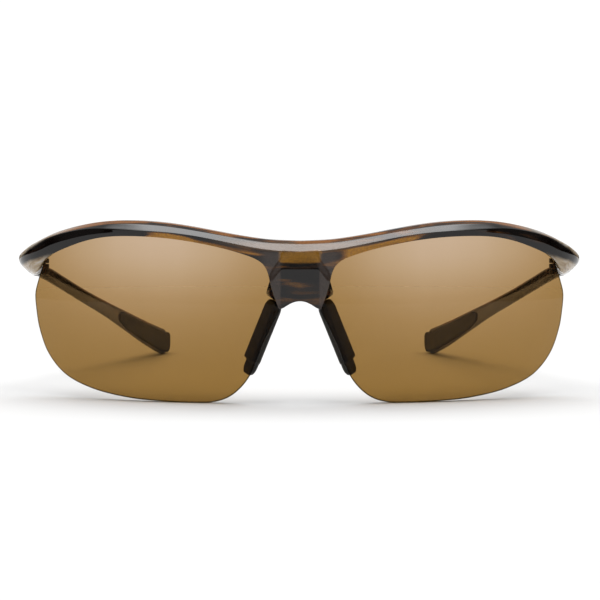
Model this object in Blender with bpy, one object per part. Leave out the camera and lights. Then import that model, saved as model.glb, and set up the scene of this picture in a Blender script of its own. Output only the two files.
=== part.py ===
"""Half-rim wraparound sports sunglasses with folding temples and adjustable nose pads.

Millimetres are used throughout and turned into metres where meshes are made.
X points to the wearer's left, Y from the front of the bridge back to the ears, Z up.
The glasses stand on the lower edges of the lenses and on the ends of the temples.
"""
import math

import bmesh
import bpy
from mathutils import Matrix, Vector

MM = 0.001

# Both lenses are pieces of spherical shells, and the front frame wraps round the same spheres.
LENS_RADIUS = 66.0
LENS_THICKNESS = 2.0
LENS_CENTRE_X = 14.5
LENS_CENTRE_Y = 67.3
LENS_CENTRE_Z = 24.0
LENS_CLEARANCE = 0.2
LENS_MIDDLE = (34.0, 21.0)
LENS_RINGS = 5

# The free edge runs from the temporal corner round the bottom to the nasal corner.
LENS_FREE_EDGE = [
    (63.3, 34.2), (65.0, 29.0), (65.85, 25.5), (65.6, 21.5), (64.8, 16.8), (62.5, 10.7),
    (58.2, 5.8), (51.5, 2.7), (42.0, 0.8), (32.5, 0.16), (26.0, 0.06), (21.0, 0.3),
    (17.2, 1.6), (14.1, 4.2), (11.8, 7.5), (8.6, 15.3), (4.7, 23.2)]
# The seated edge sits in the groove of the frame, from the nasal corner over the top.
LENS_SEATED_EDGE = [
    (4.7, 23.2), (5.4, 27.0), (6.1, 30.6), (7.3, 34.2), (10.6, 36.9), (17.5, 38.9),
    (27.0, 40.8), (36.2, 41.7), (46.2, 41.6), (53.0, 40.1), (58.0, 38.0), (63.3, 34.2)]
FREE_EDGE_POINTS = 34
SEATED_EDGE_POINTS = 24

# Rows of the front frame, as heights over the distance from the middle of the bridge.
CROWN_HEIGHTS = [(0, 39.6), (8, 40.0), (16, 41.2), (25, 42.8), (33, 43.9), (41, 44.3), (48, 44.0),
                 (54, 42.9), (59, 41.5), (63, 39.8), (66, 38.2), (70, 36.5), (77.3, 34.3)]
SEAT_HEIGHTS = [(14.9, 36.9), (18, 37.8), (27, 39.6), (36, 40.5), (46, 40.4), (52, 39.2), (57, 37.3),
                (60, 35.9), (63, 33.7), (64.3, 32.0), (65.1, 30.6), (66.5, 30.0), (70, 29.8),
                (77.3, 29.3)]
CREASE_HEIGHTS = [(14.9, 37.9), (20, 39.1), (30, 41.0), (41, 41.45), (51.4, 40.5), (59.6, 38.1),
                  (63.6, 35.9), (67.5, 33.6), (72, 32.6), (77.3, 32.2)]
BEVEL_DROPS = [(0, 2.5), (12, 2.2), (25, 1.9), (41, 2.2), (52, 1.3), (66, 1.2), (77.3, 0.9)]
EDGE_DROP = 0.75
# Where the seat turns down beside the nose: (seat x, seat z), (crease x, crease z).
NOSE_TURN = [((14.9, 36.9), (14.9, 37.9)), ((11.2, 35.7), (11.0, 37.2)), ((9.2, 34.5), (8.2, 36.95)),
             ((8.2, 33.2), (5.8, 36.9)), ((7.6, 31.6), (4.0, 36.3)), ((7.35, 30.2), (4.4, 34.6)),
             ((7.0, 28.6), (4.5, 32.8)), ((6.4, 26.7), (4.3, 29.5)), ((5.7, 24.8), (4.15, 26.3)),
             ((5.05, 23.2), (4.0, 23.5))]
EAR = 4
PANEL_DEPTHS = (0.25, 0.2, 0.15, 0.6, 1.0, 1.4)
PANEL_ARCH = (0.0, 0.0, 0.0, 0.3, 1.0, 1.8)
PANEL_COLUMNS = 4
BRIDGE_BACK = 5.8
BACK_CHAMFER = 0.5

# The front frame rolls back past the lens to the hinge.
ROLL_START = 66.0
ROLL_RADIUS = 14.0
ROLL_END = 77.3
ROLL_LEAN = 9.5
BUTT_HEADING = math.radians(98.0)
FACE_OUT = 1.8
BACK_IN = -3.2

# Hinge: an upright screw through two barrels of the front leaf and one of the temple leaf.
HINGE_X = 64.4
HINGE_Y = 37.3
BARREL_RADIUS = 1.4
BARREL_LEVELS = [(29.7, 30.8), (31.05, 32.15), (32.4, 33.5)]
BARREL_GAP_RADIUS = 1.75
PIN_RADIUS = 0.6
PIN_HOLE_RADIUS = 0.85
HEAD_RADIUS = 1.15
TONGUE_THICKNESS = 0.9
TONGUE_REACH = 5.8
FRONT_TONGUE_HEADING = math.radians(-58.0)
TEMPLE_TONGUE_HEADING = math.radians(81.0)
POCKET_CLEARANCE = 0.25

# Temple sections: (y, inner face x, thickness, bottom z, top z).
TEMPLE_SECTIONS = [
    (37.5, 65.55, 5.0, 29.2, 34.3), (40.0, 65.0, 4.6, 28.8, 33.2), (43.5, 63.8, 4.0, 27.8, 31.4),
    (48.0, 62.4, 3.4, 26.4, 30.1), (57.0, 60.2, 2.9, 23.9, 27.6), (73.0, 56.2, 2.7, 19.5, 23.3),
    (90.5, 51.9, 2.7, 14.8, 19.1), (108.5, 47.4, 2.7, 9.4, 15.0), (127.0, 42.7, 2.9, 3.8, 10.8),
    (141.5, 39.0, 3.2, 0.1, 7.7), (144.6, 38.2, 3.2, 0.1, 7.1)]
TEMPLE_STATIONS = 26
# Outline of a temple and of the end of the frame: inner to outer face, bottom to top.
TEMPLE_PROFILE = [(0.0, 0.12), (0.1, 0.0), (0.34, 0.0), (1.0, 0.59), (1.0, 0.78), (0.78, 0.88),
                  (0.56, 1.0), (0.16, 1.0), (0.0, 0.86)]

# Soft pad let into the inner face and the end of each temple.
TIP_PAD_START = 101.0
TIP_PAD_END = 146.8
TIP_PAD_PROUD = 0.7
TIP_PAD_LET_IN = 1.0
TIP_PAD_STATIONS = 14
TIP_PAD_GAP = 0.3

# Nose pad: middle of the pad, its tilt in the front view and its splay seen from above.
PAD_MIDDLE = Vector((9.45, 9.0, 15.9))
PAD_TILT = math.radians(22.0)
PAD_SPLAY = math.radians(20.0)
PAD_LENGTH = 19.0
PAD_WIDTH = 8.0
PAD_THICKNESS = 2.5
PAD_STEP = 3.4
CORE_WIDTH = 2.2
CORE_THICKNESS = 0.9
CORE_TOP = -12.9
CORE_BOTTOM = 3.0
STUB_END = -9.9
STUB_WIDTHS = (-2.6, 2.6)
STUB_THICKNESSES = (-2.2, 1.7)
STUB_ROOT_DEPTH = 4.7
STUB_ROOT = [(2.2, 26.5), (7.5, 26.4), (2.4, 32.5), (7.1, 31.2)]
PIVOT_ALONG = -11.8

SIDE_NAMES = {1: "left", -1: "right"}
DEPTH_SHIFT = TIP_PAD_END / 2


def material(name, colour, roughness, metallic=0.0):
    """A plain Principled material."""
    made = bpy.data.materials.new(name)
    made.use_nodes = True
    shader = made.node_tree.nodes["Principled BSDF"]
    shader.inputs["Base Color"].default_value = (*colour, 1.0)
    shader.inputs["Roughness"].default_value = roughness
    shader.inputs["Metallic"].default_value = metallic
    made.diffuse_color = (*colour, 1.0)
    return made


def ease(value, low, high):
    """Rises smoothly from 0 at low to 1 at high."""
    t = min(1.0, max(0.0, (value - low) / (high - low)))
    return t * t * (3.0 - 2.0 * t)


def curve_point(points, place):
    """Point on a smooth curve through the points; place counts points from the first."""
    last = len(points) - 1
    i = min(last - 1, max(0, int(place)))
    t = place - i
    p1, p2 = Vector(points[i]), Vector(points[i + 1])
    p0 = Vector(points[i - 1]) if i > 0 else p1 * 2 - p2
    p3 = Vector(points[i + 2]) if i + 2 <= last else p2 * 2 - p1
    knots = [0.0]
    for a, b in ((p0, p1), (p1, p2), (p2, p3)):
        knots.append(knots[-1] + math.sqrt((b - a).length))
    t0, t1, t2, t3 = knots
    u = t1 + t * (t2 - t1)
    a1 = p0 * ((t1 - u) / (t1 - t0)) + p1 * ((u - t0) / (t1 - t0))
    a2 = p1 * ((t2 - u) / (t2 - t1)) + p2 * ((u - t1) / (t2 - t1))
    a3 = p2 * ((t3 - u) / (t3 - t2)) + p3 * ((u - t2) / (t3 - t2))
    b1 = a1 * ((t2 - u) / (t2 - t0)) + a2 * ((u - t0) / (t2 - t0))
    b2 = a2 * ((t3 - u) / (t3 - t1)) + a3 * ((u - t1) / (t3 - t1))
    return b1 * ((t2 - u) / (t2 - t1)) + b2 * ((u - t1) / (t2 - t1))


def height_at(knots, value):
    """Smooth height through (place, height) knots."""
    i = 0
    while i < len(knots) - 2 and value > knots[i + 1][0]:
        i += 1
    span = knots[i + 1][0] - knots[i][0]
    t = min(1.0, max(0.0, (value - knots[i][0]) / span))

    def slope(k):
        low, high = max(0, k - 1), min(len(knots) - 1, k + 1)
        return (knots[high][1] - knots[low][1]) / (knots[high][0] - knots[low][0])

    h0, h1 = knots[i][1], knots[i + 1][1]
    m0, m1 = slope(i) * span, slope(i + 1) * span
    return (h0 * (2 * t ** 3 - 3 * t ** 2 + 1) + m0 * (t ** 3 - 2 * t ** 2 + t)
            + h1 * (3 * t ** 2 - 2 * t ** 3) + m1 * (t ** 3 - t ** 2))


def evenly(points, count):
    """Points spaced evenly along the smooth curve, both ends included."""
    fine = [curve_point(points, k / 20.0) for k in range(20 * (len(points) - 1) + 1)]
    reach = [0.0]
    for a, b in zip(fine, fine[1:]):
        reach.append(reach[-1] + (b - a).length)
    spaced = []
    k = 0
    for step in range(count + 1):
        goal = reach[-1] * step / count
        while k < len(reach) - 2 and reach[k + 1] < goal:
            k += 1
        t = (goal - reach[k]) / (reach[k + 1] - reach[k])
        spaced.append(fine[k].lerp(fine[k + 1], min(1.0, max(0.0, t))))
    return spaced


def new_object(name, mesh_data, look=None, cutter=False):
    """Puts a bmesh into the scene as an object, in metres, with outward faces."""
    bmesh.ops.recalc_face_normals(mesh_data, faces=mesh_data.faces)
    place = Matrix.Scale(MM, 4) @ Matrix.Translation((0, -DEPTH_SHIFT, 0))
    bmesh.ops.transform(mesh_data, matrix=place, verts=mesh_data.verts)
    data = bpy.data.meshes.new(name)
    mesh_data.to_mesh(data)
    mesh_data.free()
    data.shade_smooth()
    data.set_sharp_from_angle(angle=math.radians(30))
    made = bpy.data.objects.new(name, data)
    bpy.context.collection.objects.link(made)
    if look:
        data.materials.append(look)
    if cutter:
        made.hide_render = True
        made.display_type = "WIRE"
    return made


def combine(target, tool, operation):
    """Joins or cuts the target with the tool."""
    step = target.modifiers.new(tool.name, "BOOLEAN")
    step.object = tool
    step.operation = operation


def move_origin(made, x, y, z):
    """Moves the origin of an object to its joint, without moving the object."""
    place = Vector((x, y - DEPTH_SHIFT, z)) * MM
    for vertex in made.data.vertices:
        vertex.co -= place
    made.location = place


def loft(rings):
    """Closed solid through a row of rings with the same number of points."""
    shape = bmesh.new()
    loops = [[shape.verts.new(p) for p in ring] for ring in rings]
    count = len(loops[0])
    for a, b in zip(loops, loops[1:]):
        for k in range(count):
            shape.faces.new((a[k], a[(k + 1) % count], b[(k + 1) % count], b[k]))
    shape.faces.new(loops[0])
    shape.faces.new(loops[-1])
    return shape


def hull(points):
    """Convex solid round the points."""
    shape = bmesh.new()
    for p in points:
        shape.verts.new(p)
    result = bmesh.ops.convex_hull(shape, input=shape.verts)
    bmesh.ops.delete(shape, geom=result["geom_interior"], context="VERTS")
    return shape


def upright_cylinder(x, y, low, high, radius, sides=24):
    """Round bar with an upright axis."""
    shape = bmesh.new()
    bmesh.ops.create_cone(shape, cap_ends=True, segments=sides, radius1=radius, radius2=radius,
                          depth=high - low)
    bmesh.ops.translate(shape, vec=(x, y, (low + high) / 2), verts=shape.verts)
    return shape


def lens_point(side, x, z, out):
    """Point on a shell round the lens centre, seen from the centre through (x, z)."""
    drop_x, drop_z = x - LENS_CENTRE_X, z - LENS_CENTRE_Z
    reach = math.sqrt(LENS_RADIUS ** 2 - drop_x ** 2 - drop_z ** 2)
    grow = (LENS_RADIUS + out) / LENS_RADIUS
    return Vector((side * (LENS_CENTRE_X + drop_x * grow), LENS_CENTRE_Y - reach * grow,
                   LENS_CENTRE_Z + drop_z * grow))


def lens_outline(grow):
    """Edge of a lens, pushed outward by grow."""
    free = evenly(LENS_FREE_EDGE, FREE_EDGE_POINTS)
    seated = evenly(LENS_SEATED_EDGE, SEATED_EDGE_POINTS)
    outline = free[:-1] + seated[:-1]
    count = len(outline)
    pushed = []
    for k, point in enumerate(outline):
        along = (outline[(k + 1) % count] - outline[k - 1]).normalized()
        pushed.append(point + Vector((along.y, -along.x)) * -grow)
    return pushed


def lens_shell(side, grow):
    """Lens as a closed shell; grow adds clearance on every face."""
    outline = lens_outline(grow)
    middle = Vector(LENS_MIDDLE)
    shape = bmesh.new()
    layers = []
    for out in (grow, -LENS_THICKNESS - grow):
        rings = []
        for ring in range(LENS_RINGS):
            scale = 1.0 - ring / LENS_RINGS
            rings.append([shape.verts.new(lens_point(side, *middle.lerp(p, scale), out)) for p in outline])
        centre = shape.verts.new(lens_point(side, *middle, out))
        layers.append((rings, centre))
    count = len(outline)
    for rings, centre in layers:
        for a, b in zip(rings, rings[1:]):
            for k in range(count):
                shape.faces.new((a[k], a[(k + 1) % count], b[(k + 1) % count], b[k]))
        for k in range(count):
            shape.faces.new((rings[-1][k], rings[-1][(k + 1) % count], centre))
    front, back = layers[0][0][0], layers[1][0][0]
    for k in range(count):
        shape.faces.new((front[k], front[(k + 1) % count], back[(k + 1) % count], back[k]))
    return shape


def wrap_point(x, z, out):
    """Point of the front frame: x along the brow, z up, out from the face of the lens."""
    side = -1 if x < 0 else 1
    reach = abs(x)
    upright = ease(reach, 52, 72)
    lean = (z - LENS_CENTRE_Z) * (1 - upright) + ROLL_LEAN * upright
    face = math.sqrt(LENS_RADIUS ** 2 - lean ** 2)
    radius = math.sqrt((LENS_RADIUS + out) ** 2 - lean ** 2)
    if reach <= LENS_CENTRE_X:
        return Vector((x, LENS_CENTRE_Y - radius, z))
    angle = math.asin((min(reach, ROLL_START) - LENS_CENTRE_X) / face)
    inner = 0.0
    if reach > ROLL_START:
        inner = face - ROLL_RADIUS
        start = angle
        angle += (BUTT_HEADING - angle) * (reach - ROLL_START) / (ROLL_END - ROLL_START)
        hub_x = LENS_CENTRE_X + inner * math.sin(start)
        hub_y = LENS_CENTRE_Y - inner * math.cos(start)
    else:
        hub_x, hub_y = LENS_CENTRE_X, LENS_CENTRE_Y
    swing = radius - inner
    return Vector((side * (hub_x + swing * math.sin(angle)), hub_y - swing * math.cos(angle), z))


def out_for_depth(z, depth):
    """The out value that puts a point of the bridge at a depth behind its front."""
    return math.sqrt((LENS_CENTRE_Y - depth) ** 2 + (z - LENS_CENTRE_Z) ** 2) - LENS_RADIUS


class FrontSheet:
    """The front frame seen from the front: a sheet of quads with a front and a back face."""

    def __init__(self):
        self.points = []
        self.quads = []

    def add(self, x, z, front, back, back_rise=0.0, chamfer=0.0):
        self.points.append((x, z, front, back, back_rise, chamfer))
        return len(self.points) - 1

    def strip(self, lower, upper):
        for k in range(len(lower) - 1):
            self.quads.append((lower[k], lower[k + 1], upper[k + 1], upper[k]))

    def solid(self):
        shape = bmesh.new()
        front = [shape.verts.new(wrap_point(x, z, out)) for x, z, out, _, _, _ in self.points]
        back = [shape.verts.new(wrap_point(x, z + rise, out)) for x, z, _, out, rise, _ in self.points]
        used = {}
        for quad in self.quads:
            shape.faces.new([front[k] for k in quad])
            shape.faces.new([back[k] for k in reversed(quad)])
            for k in range(4):
                pair = (quad[k], quad[(k + 1) % 4])
                used[frozenset(pair)] = None if frozenset(pair) in used else pair
        rim = {}
        for pair in used.values():
            if pair is None:
                continue
            for k in pair:
                if k not in rim:
                    x, z, out, inner, rise, chamfer = self.points[k]
                    middle = inner + chamfer if chamfer else (out + inner) / 2
                    height = z if chamfer else z + rise / 2
                    rim[k] = shape.verts.new(wrap_point(x, height, middle))
            a, b = pair
            shape.faces.new((front[b], front[a], rim[a], rim[b]))
            shape.faces.new((rim[b], rim[a], back[a], back[b]))
        return shape


def back_out(x):
    """Depth of the back face of the frame: deeper behind the bridge."""
    deep = out_for_depth(LENS_CENTRE_Z + 9.0, BRIDGE_BACK)
    return BACK_IN + (deep - BACK_IN) * (1 - ease(abs(x), 8, 24))


def back_lip_rise(reach):
    """Lift that hides the back lip behind the front lip where the seat slopes down."""
    slope = height_at(SEAT_HEIGHTS, reach - 0.5) - height_at(SEAT_HEIGHTS, reach + 0.5)
    shift = (reach - LENS_CENTRE_X) * (0.85 - BACK_IN) / LENS_RADIUS
    return max(0.0, slope) * shift * (1 - ease(reach, 63.4, 65.6))


def brow_places():
    """Stations along the brow from the hinge end to the start of the nose turn."""
    roll = [ROLL_END - (ROLL_END - ROLL_START) * k / 5 for k in range(6)]
    corner = [65.1, 64.3, 63.2, 61.7]
    brow = [60.0 - (60.0 - 18.0) * k / 12 for k in range(13)]
    return roll + corner + brow


def upper_rows(sheet, x):
    """Bevel, edge and crown points above one station."""
    reach = abs(x)
    crown = height_at(CROWN_HEIGHTS, reach)
    outer = ease(reach, 46, 60)
    back = back_out(x)
    bridge = 1 - ease(reach, 8, 20)
    face = FACE_OUT + 0.5 * bridge
    bevel = sheet.add(x, crown - height_at(BEVEL_DROPS, reach), face, back)
    edge = sheet.add(x, crown - EDGE_DROP, 0.8 + 0.6 * outer, back)
    top = sheet.add(x, crown, -0.4, back, back_rise=-BACK_CHAMFER, chamfer=BACK_CHAMFER)
    return bevel, edge, top


def front_frame_solid():
    """Brow, bridge and end pieces as one moulding."""
    sheet = FrontSheet()
    halves = {}
    for side in (-1, 1):
        seat, crease, upper = [], [], []
        for reach in brow_places():
            x = side * reach
            lip = 0.85 - 2.35 * ease(reach, 62, 72)
            seat.append(sheet.add(x, height_at(SEAT_HEIGHTS, reach), lip, back_out(x) + 0.25,
                                  back_rise=back_lip_rise(reach)))
            crease.append(sheet.add(x, height_at(CREASE_HEIGHTS, reach), 1.5 + 0.3 * ease(reach, 58, 66),
                                    back_out(x)))
            upper.append(upper_rows(sheet, x))
        for k, (low, high) in enumerate(NOSE_TURN):
            turn = ease(k, 1, EAR)
            lip = 0.85 - 0.45 * turn
            seat.append(sheet.add(side * low[0], low[1], lip, back_out(low[0]) + 0.25))
            face = 1.5 + 0.6 * turn
            if k >= EAR:
                face = out_for_depth(high[1], PANEL_DEPTHS[k - EAR])
            crease.append(sheet.add(side * high[0], high[1], face, back_out(high[0])))
            if k <= EAR:
                upper.append(upper_rows(sheet, side * high[0]))
        sheet.strip(seat, crease)
        halves[side] = (crease, upper)
    first = len(brow_places()) + EAR
    panel = []
    for row in range(len(PANEL_DEPTHS)):
        left, right = halves[-1][0][first + row], halves[1][0][first + row]
        x_end, z_end = sheet.points[right][:2]
        names = [left]
        for column in range(1, PANEL_COLUMNS):
            x = x_end * (2 * column / PANEL_COLUMNS - 1)
            z = z_end + PANEL_ARCH[row] * (1 - (x / x_end) ** 2)
            names.append(sheet.add(x, z, out_for_depth(z, PANEL_DEPTHS[row]), back_out(x)))
        panel.append(names + [right])
    for above, below in zip(panel, panel[1:]):
        sheet.strip(below, above)
    across = [upper_rows(sheet, sheet.points[k][0]) for k in panel[0][1:-1]]
    uppers = halves[-1][1] + across + halves[1][1][::-1]
    creases = halves[-1][0][:first] + panel[0] + halves[1][0][:first][::-1]
    bevels, edges, tops = zip(*uppers)
    sheet.strip(creases, bevels)
    sheet.strip(bevels, edges)
    sheet.strip(edges, tops)
    return sheet.solid()


def pad_point(side, along, across, out):
    """Point in the frame of a nose pad: down its length, across to the back, out to the nose."""
    length = Vector((math.sin(PAD_TILT), 0, -math.cos(PAD_TILT)))
    width = Vector((math.sin(PAD_SPLAY) * math.cos(PAD_TILT), math.cos(PAD_SPLAY),
                    math.sin(PAD_SPLAY) * math.sin(PAD_TILT)))
    point = PAD_MIDDLE + length * along + width * across + width.cross(length) * out
    return Vector((side * point.x, point.y, point.z))


def nose_stub_solid(side):
    """Moulded arm behind the bridge that carries the core of a nose pad."""
    end = [pad_point(side, STUB_END, a, b) for a in STUB_WIDTHS for b in STUB_THICKNESSES]
    root = [Vector((side * x, STUB_ROOT_DEPTH, z)) for x, z in STUB_ROOT]
    return hull(end + root)


def core_solid(side, grow):
    """Flat metal strip that runs from the frame into the nose pad."""
    half_width, half_thickness = CORE_WIDTH / 2 + grow, CORE_THICKNESS / 2 + grow
    corners = [(-half_width, -half_thickness), (half_width, -half_thickness),
               (half_width, half_thickness), (-half_width, half_thickness)]
    ends = (CORE_TOP - grow, CORE_BOTTOM + grow)
    return loft([[pad_point(side, s, a, b) for a, b in corners] for s in ends])


def nose_pad_solid(side):
    """Soft pad with rounded ends, stepped thinner over its lower tip."""
    half = PAD_LENGTH / 2
    step = half - PAD_STEP
    places = [-half, -half + 0.6, -half + 2.2, -2.0, step - 0.25, step + 0.25, half - 2.0, half - 0.5, half]
    rings = []
    for s in places:
        fade = min(1.0, (half - abs(s)) / 2.4)
        wide = PAD_WIDTH / 2 * (0.55 + 0.45 * math.sqrt(max(0.0, 1 - (1 - fade) ** 2)))
        thin = PAD_THICKNESS / 2
        far = -thin if s < step else -thin * 0.35
        wide = wide if s < step else wide * 0.86
        ring = [(-wide, far * 0.3), (-wide * 0.8, far), (wide * 0.8, far), (wide, far * 0.3),
                (wide, thin * 0.4), (wide * 0.75, thin), (-wide * 0.75, thin), (-wide, thin * 0.4)]
        rings.append([pad_point(side, s, a, b) for a, b in ring])
    return loft(rings)


def temple_frame(y):
    """Inner-face point, outward direction, thickness, bottom and top of the temple at y."""
    columns = [[(row[0], row[k]) for row in TEMPLE_SECTIONS] for k in range(1, 5)]
    inner, thick, bottom, top = (height_at(column, y) for column in columns)
    lean = (height_at(columns[0], y + 0.5) - height_at(columns[0], y - 0.5))
    start = ease(y, TEMPLE_SECTIONS[0][0], 43.0)
    lean = lean * start + math.cos(BUTT_HEADING) * (1 - start)
    outward = Vector((1, -lean, 0)).normalized()
    return Vector((inner, y, 0)), outward, thick, bottom, top


def temple_solid(side):
    """Temple arm from the hinge down to its tip, flat where it stands."""
    first, last = TEMPLE_SECTIONS[0][0], TEMPLE_SECTIONS[-1][0]
    rings = []
    for k in range(TEMPLE_STATIONS + 1):
        share = k / TEMPLE_STATIONS
        y = first + (last - first) * (0.55 * share + 0.45 * share ** 2)
        inner, outward, thick, bottom, top = temple_frame(y)
        ring = []
        for a, b in TEMPLE_PROFILE:
            point = inner + outward * (a * thick)
            ring.append((side * point.x, point.y, bottom + b * (top - bottom)))
        rings.append(ring)
    return loft(rings)


def tip_pad_solid(side, grow):
    """Soft pad along the inner face of the temple that wraps round its end."""
    wrap = TEMPLE_SECTIONS[-1][0] + TIP_PAD_GAP
    body = [TIP_PAD_START + (wrap - 0.4 - TIP_PAD_START) * k / TIP_PAD_STATIONS
            for k in range(TIP_PAD_STATIONS + 1)]
    end = [wrap, wrap + 0.9, TIP_PAD_END - 0.6, TIP_PAD_END]
    rings = []
    for y in body + end:
        inner, outward, thick, bottom, top = temple_frame(min(y, TEMPLE_SECTIONS[-1][0]))
        inner = inner + Vector((-0.24, 1, 0)) * (y - inner.y)
        taper = 0.45 + 0.55 * ease(y, TIP_PAD_START, TIP_PAD_START + 6)
        at_end = ease(y, wrap - 0.2, wrap)
        round_off = 1 - 0.45 * ease(y, wrap + 0.9, TIP_PAD_END)
        middle = (bottom + top) / 2 - 0.2
        rise = (top - bottom) * 0.36 * taper + grow
        low, high = middle - rise, middle + rise
        if at_end:
            low = 0.0
            high = (top - 1.0) * round_off
        inside = -TIP_PAD_PROUD * taper - grow
        outside = (TIP_PAD_LET_IN + grow) * (1 - at_end) + (thick - 0.3) * at_end * round_off
        mid_z = (low + high) / 2
        corners = [(inside * 0.3 + outside * 0.7, low), (outside, low * 0.8 + mid_z * 0.2),
                   (outside, high * 0.8 + mid_z * 0.2), (inside * 0.3 + outside * 0.7, high),
                   (inside * 0.7, high), (inside, high * 0.7 + mid_z * 0.3),
                   (inside, low * 0.7 + mid_z * 0.3), (inside * 0.7, low)]
        ring = []
        for a, z in corners:
            point = inner + outward * a
            ring.append((side * point.x, point.y, z))
        rings.append(ring)
    return loft(rings)


def tongue_solid(side, heading, near, far, grow):
    """Flat tongue of a hinge leaf: near and far are (distance, low z, high z)."""
    along = Vector((math.cos(heading), math.sin(heading), 0))
    sideways = Vector((-along.y, along.x, 0)) * (TONGUE_THICKNESS / 2 + grow)
    points = []
    for (reach, low, high), more in ((near, 0), (far, grow)):
        for z in (low - grow, high + grow):
            for way in (-1, 1):
                point = Vector((HINGE_X, HINGE_Y, z)) + along * (reach + more) + sideways * way
                points.append((side * point.x, point.y, point.z))
    return hull(points)


def front_tongue(side, grow=0.0):
    """Tongue of the front leaf, in the end of the frame."""
    return tongue_solid(side, FRONT_TONGUE_HEADING, (0.9, 30.3, 33.0), (TONGUE_REACH, 30.6, 33.0), grow)


def temple_tongue(side, grow=0.0):
    """Tongue of the temple leaf, sloping down with the temple."""
    return tongue_solid(side, TEMPLE_TONGUE_HEADING, (0.9, 31.1, 32.1), (TONGUE_REACH, 29.4, 30.6), grow)


def barrel(side, level, radius, extra=0.0):
    """One knuckle of a hinge, or the space for it."""
    low, high = level
    return upright_cylinder(side * HINGE_X, HINGE_Y, low - extra, high + extra, radius)


def screw_solid(side):
    """Hinge screw with a flat head."""
    low, seat = BARREL_LEVELS[0][0] + 0.1, BARREL_LEVELS[-1][1] + 0.2
    sides = 24
    rings = []
    for radius, z in ((PIN_RADIUS, low), (PIN_RADIUS, seat), (HEAD_RADIUS, seat),
                      (HEAD_RADIUS, seat + 0.35), (HEAD_RADIUS * 0.85, seat + 0.5)):
        rings.append([(side * HINGE_X + radius * math.cos(math.tau * k / sides),
                       HINGE_Y + radius * math.sin(math.tau * k / sides), z) for k in range(sides)])
    return loft(rings)


def build_hinge(side, name, steel):
    """Both leaves of one hinge and its screw."""
    bore = new_object("hinge_bore_" + name, barrel(side, (28.0, 36.0), PIN_HOLE_RADIUS), cutter=True)
    front = new_object("front_hinge_leaf_" + name, front_tongue(side), steel)
    for k in (0, 2):
        knuckle = new_object(f"front_knuckle_{k}_{name}", barrel(side, BARREL_LEVELS[k], BARREL_RADIUS),
                             cutter=True)
        combine(front, knuckle, "UNION")
    space = new_object("front_leaf_space_" + name, barrel(side, BARREL_LEVELS[1], BARREL_GAP_RADIUS, 0.25),
                       cutter=True)
    combine(front, space, "DIFFERENCE")
    combine(front, bore, "DIFFERENCE")
    temple = new_object("temple_hinge_leaf_" + name, temple_tongue(side), steel)
    knuckle = new_object("temple_knuckle_" + name, barrel(side, BARREL_LEVELS[1], BARREL_RADIUS), cutter=True)
    combine(temple, knuckle, "UNION")
    combine(temple, bore, "DIFFERENCE")
    move_origin(temple, side * HINGE_X, HINGE_Y, BARREL_LEVELS[1][0])
    new_object("hinge_screw_" + name, screw_solid(side), steel)


def build_side(side, frame, looks):
    """Everything that the front frame carries on one side."""
    name = SIDE_NAMES[side]
    new_object("lens_" + name, lens_shell(side, 0.0), looks["lens"])
    groove = new_object("lens_groove_" + name, lens_shell(side, LENS_CLEARANCE), cutter=True)
    stub = new_object("nose_stub_" + name, nose_stub_solid(side), cutter=True)
    socket = new_object("core_space_" + name, core_solid(side, 0.3), cutter=True)
    combine(frame, stub, "UNION")
    combine(frame, groove, "DIFFERENCE")
    combine(frame, socket, "DIFFERENCE")
    pocket = new_object("front_pocket_" + name, front_tongue(side, POCKET_CLEARANCE), cutter=True)
    combine(frame, pocket, "DIFFERENCE")

    core = new_object("nose_pad_core_" + name, core_solid(side, 0.0), looks["steel"])
    pad = new_object("nose_pad_" + name, nose_pad_solid(side), looks["rubber"])
    combine(pad, socket, "DIFFERENCE")
    pivot = pad_point(side, PIVOT_ALONG, 0, 0)
    move_origin(core, *pivot)
    move_origin(pad, *pivot)

    temple = new_object("temple_" + name, temple_solid(side), looks["tortoise"])
    tip = new_object("temple_tip_pad_" + name, tip_pad_solid(side, 0.0), looks["rubber"])
    recess = new_object("tip_recess_" + name, tip_pad_solid(side, TIP_PAD_GAP), cutter=True)
    slot = new_object("temple_pocket_" + name, temple_tongue(side, POCKET_CLEARANCE), cutter=True)
    swing = new_object("knuckle_space_" + name, barrel(side, (25.0, 40.0), BARREL_GAP_RADIUS), cutter=True)
    for tool in (recess, slot, swing):
        combine(temple, tool, "DIFFERENCE")
    combine(frame, swing, "DIFFERENCE")
    for made in (temple, tip):
        move_origin(made, side * HINGE_X, HINGE_Y, BARREL_LEVELS[1][0])
    build_hinge(side, name, looks["steel"])


def main():
    """Builds the glasses."""
    for old in list(bpy.data.objects):
        bpy.data.objects.remove(old, do_unlink=True)
    looks = {
        "tortoise": material("tortoise_nylon", (0.10, 0.045, 0.015), 0.12),
        "lens": material("brown_lens", (0.42, 0.25, 0.08), 0.05),
        "rubber": material("black_rubber", (0.02, 0.019, 0.018), 0.55),
        "steel": material("hinge_steel", (0.55, 0.54, 0.52), 0.3, 1.0),
    }
    frame = new_object("front_frame", front_frame_solid(), looks["tortoise"])
    for side in (1, -1):
        build_side(side, frame, looks)


main()
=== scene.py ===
"""Half-rim wraparound sports glasses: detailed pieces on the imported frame, with light and camera.

Shapes are worked out in millimetres in the same frame as the CAD, with Y counted from the front
of the bridge, and become metres where meshes are made.
"""
import math

import bmesh
import bpy
from mathutils import Matrix, Vector
from mathutils.kdtree import KDTree


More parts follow.
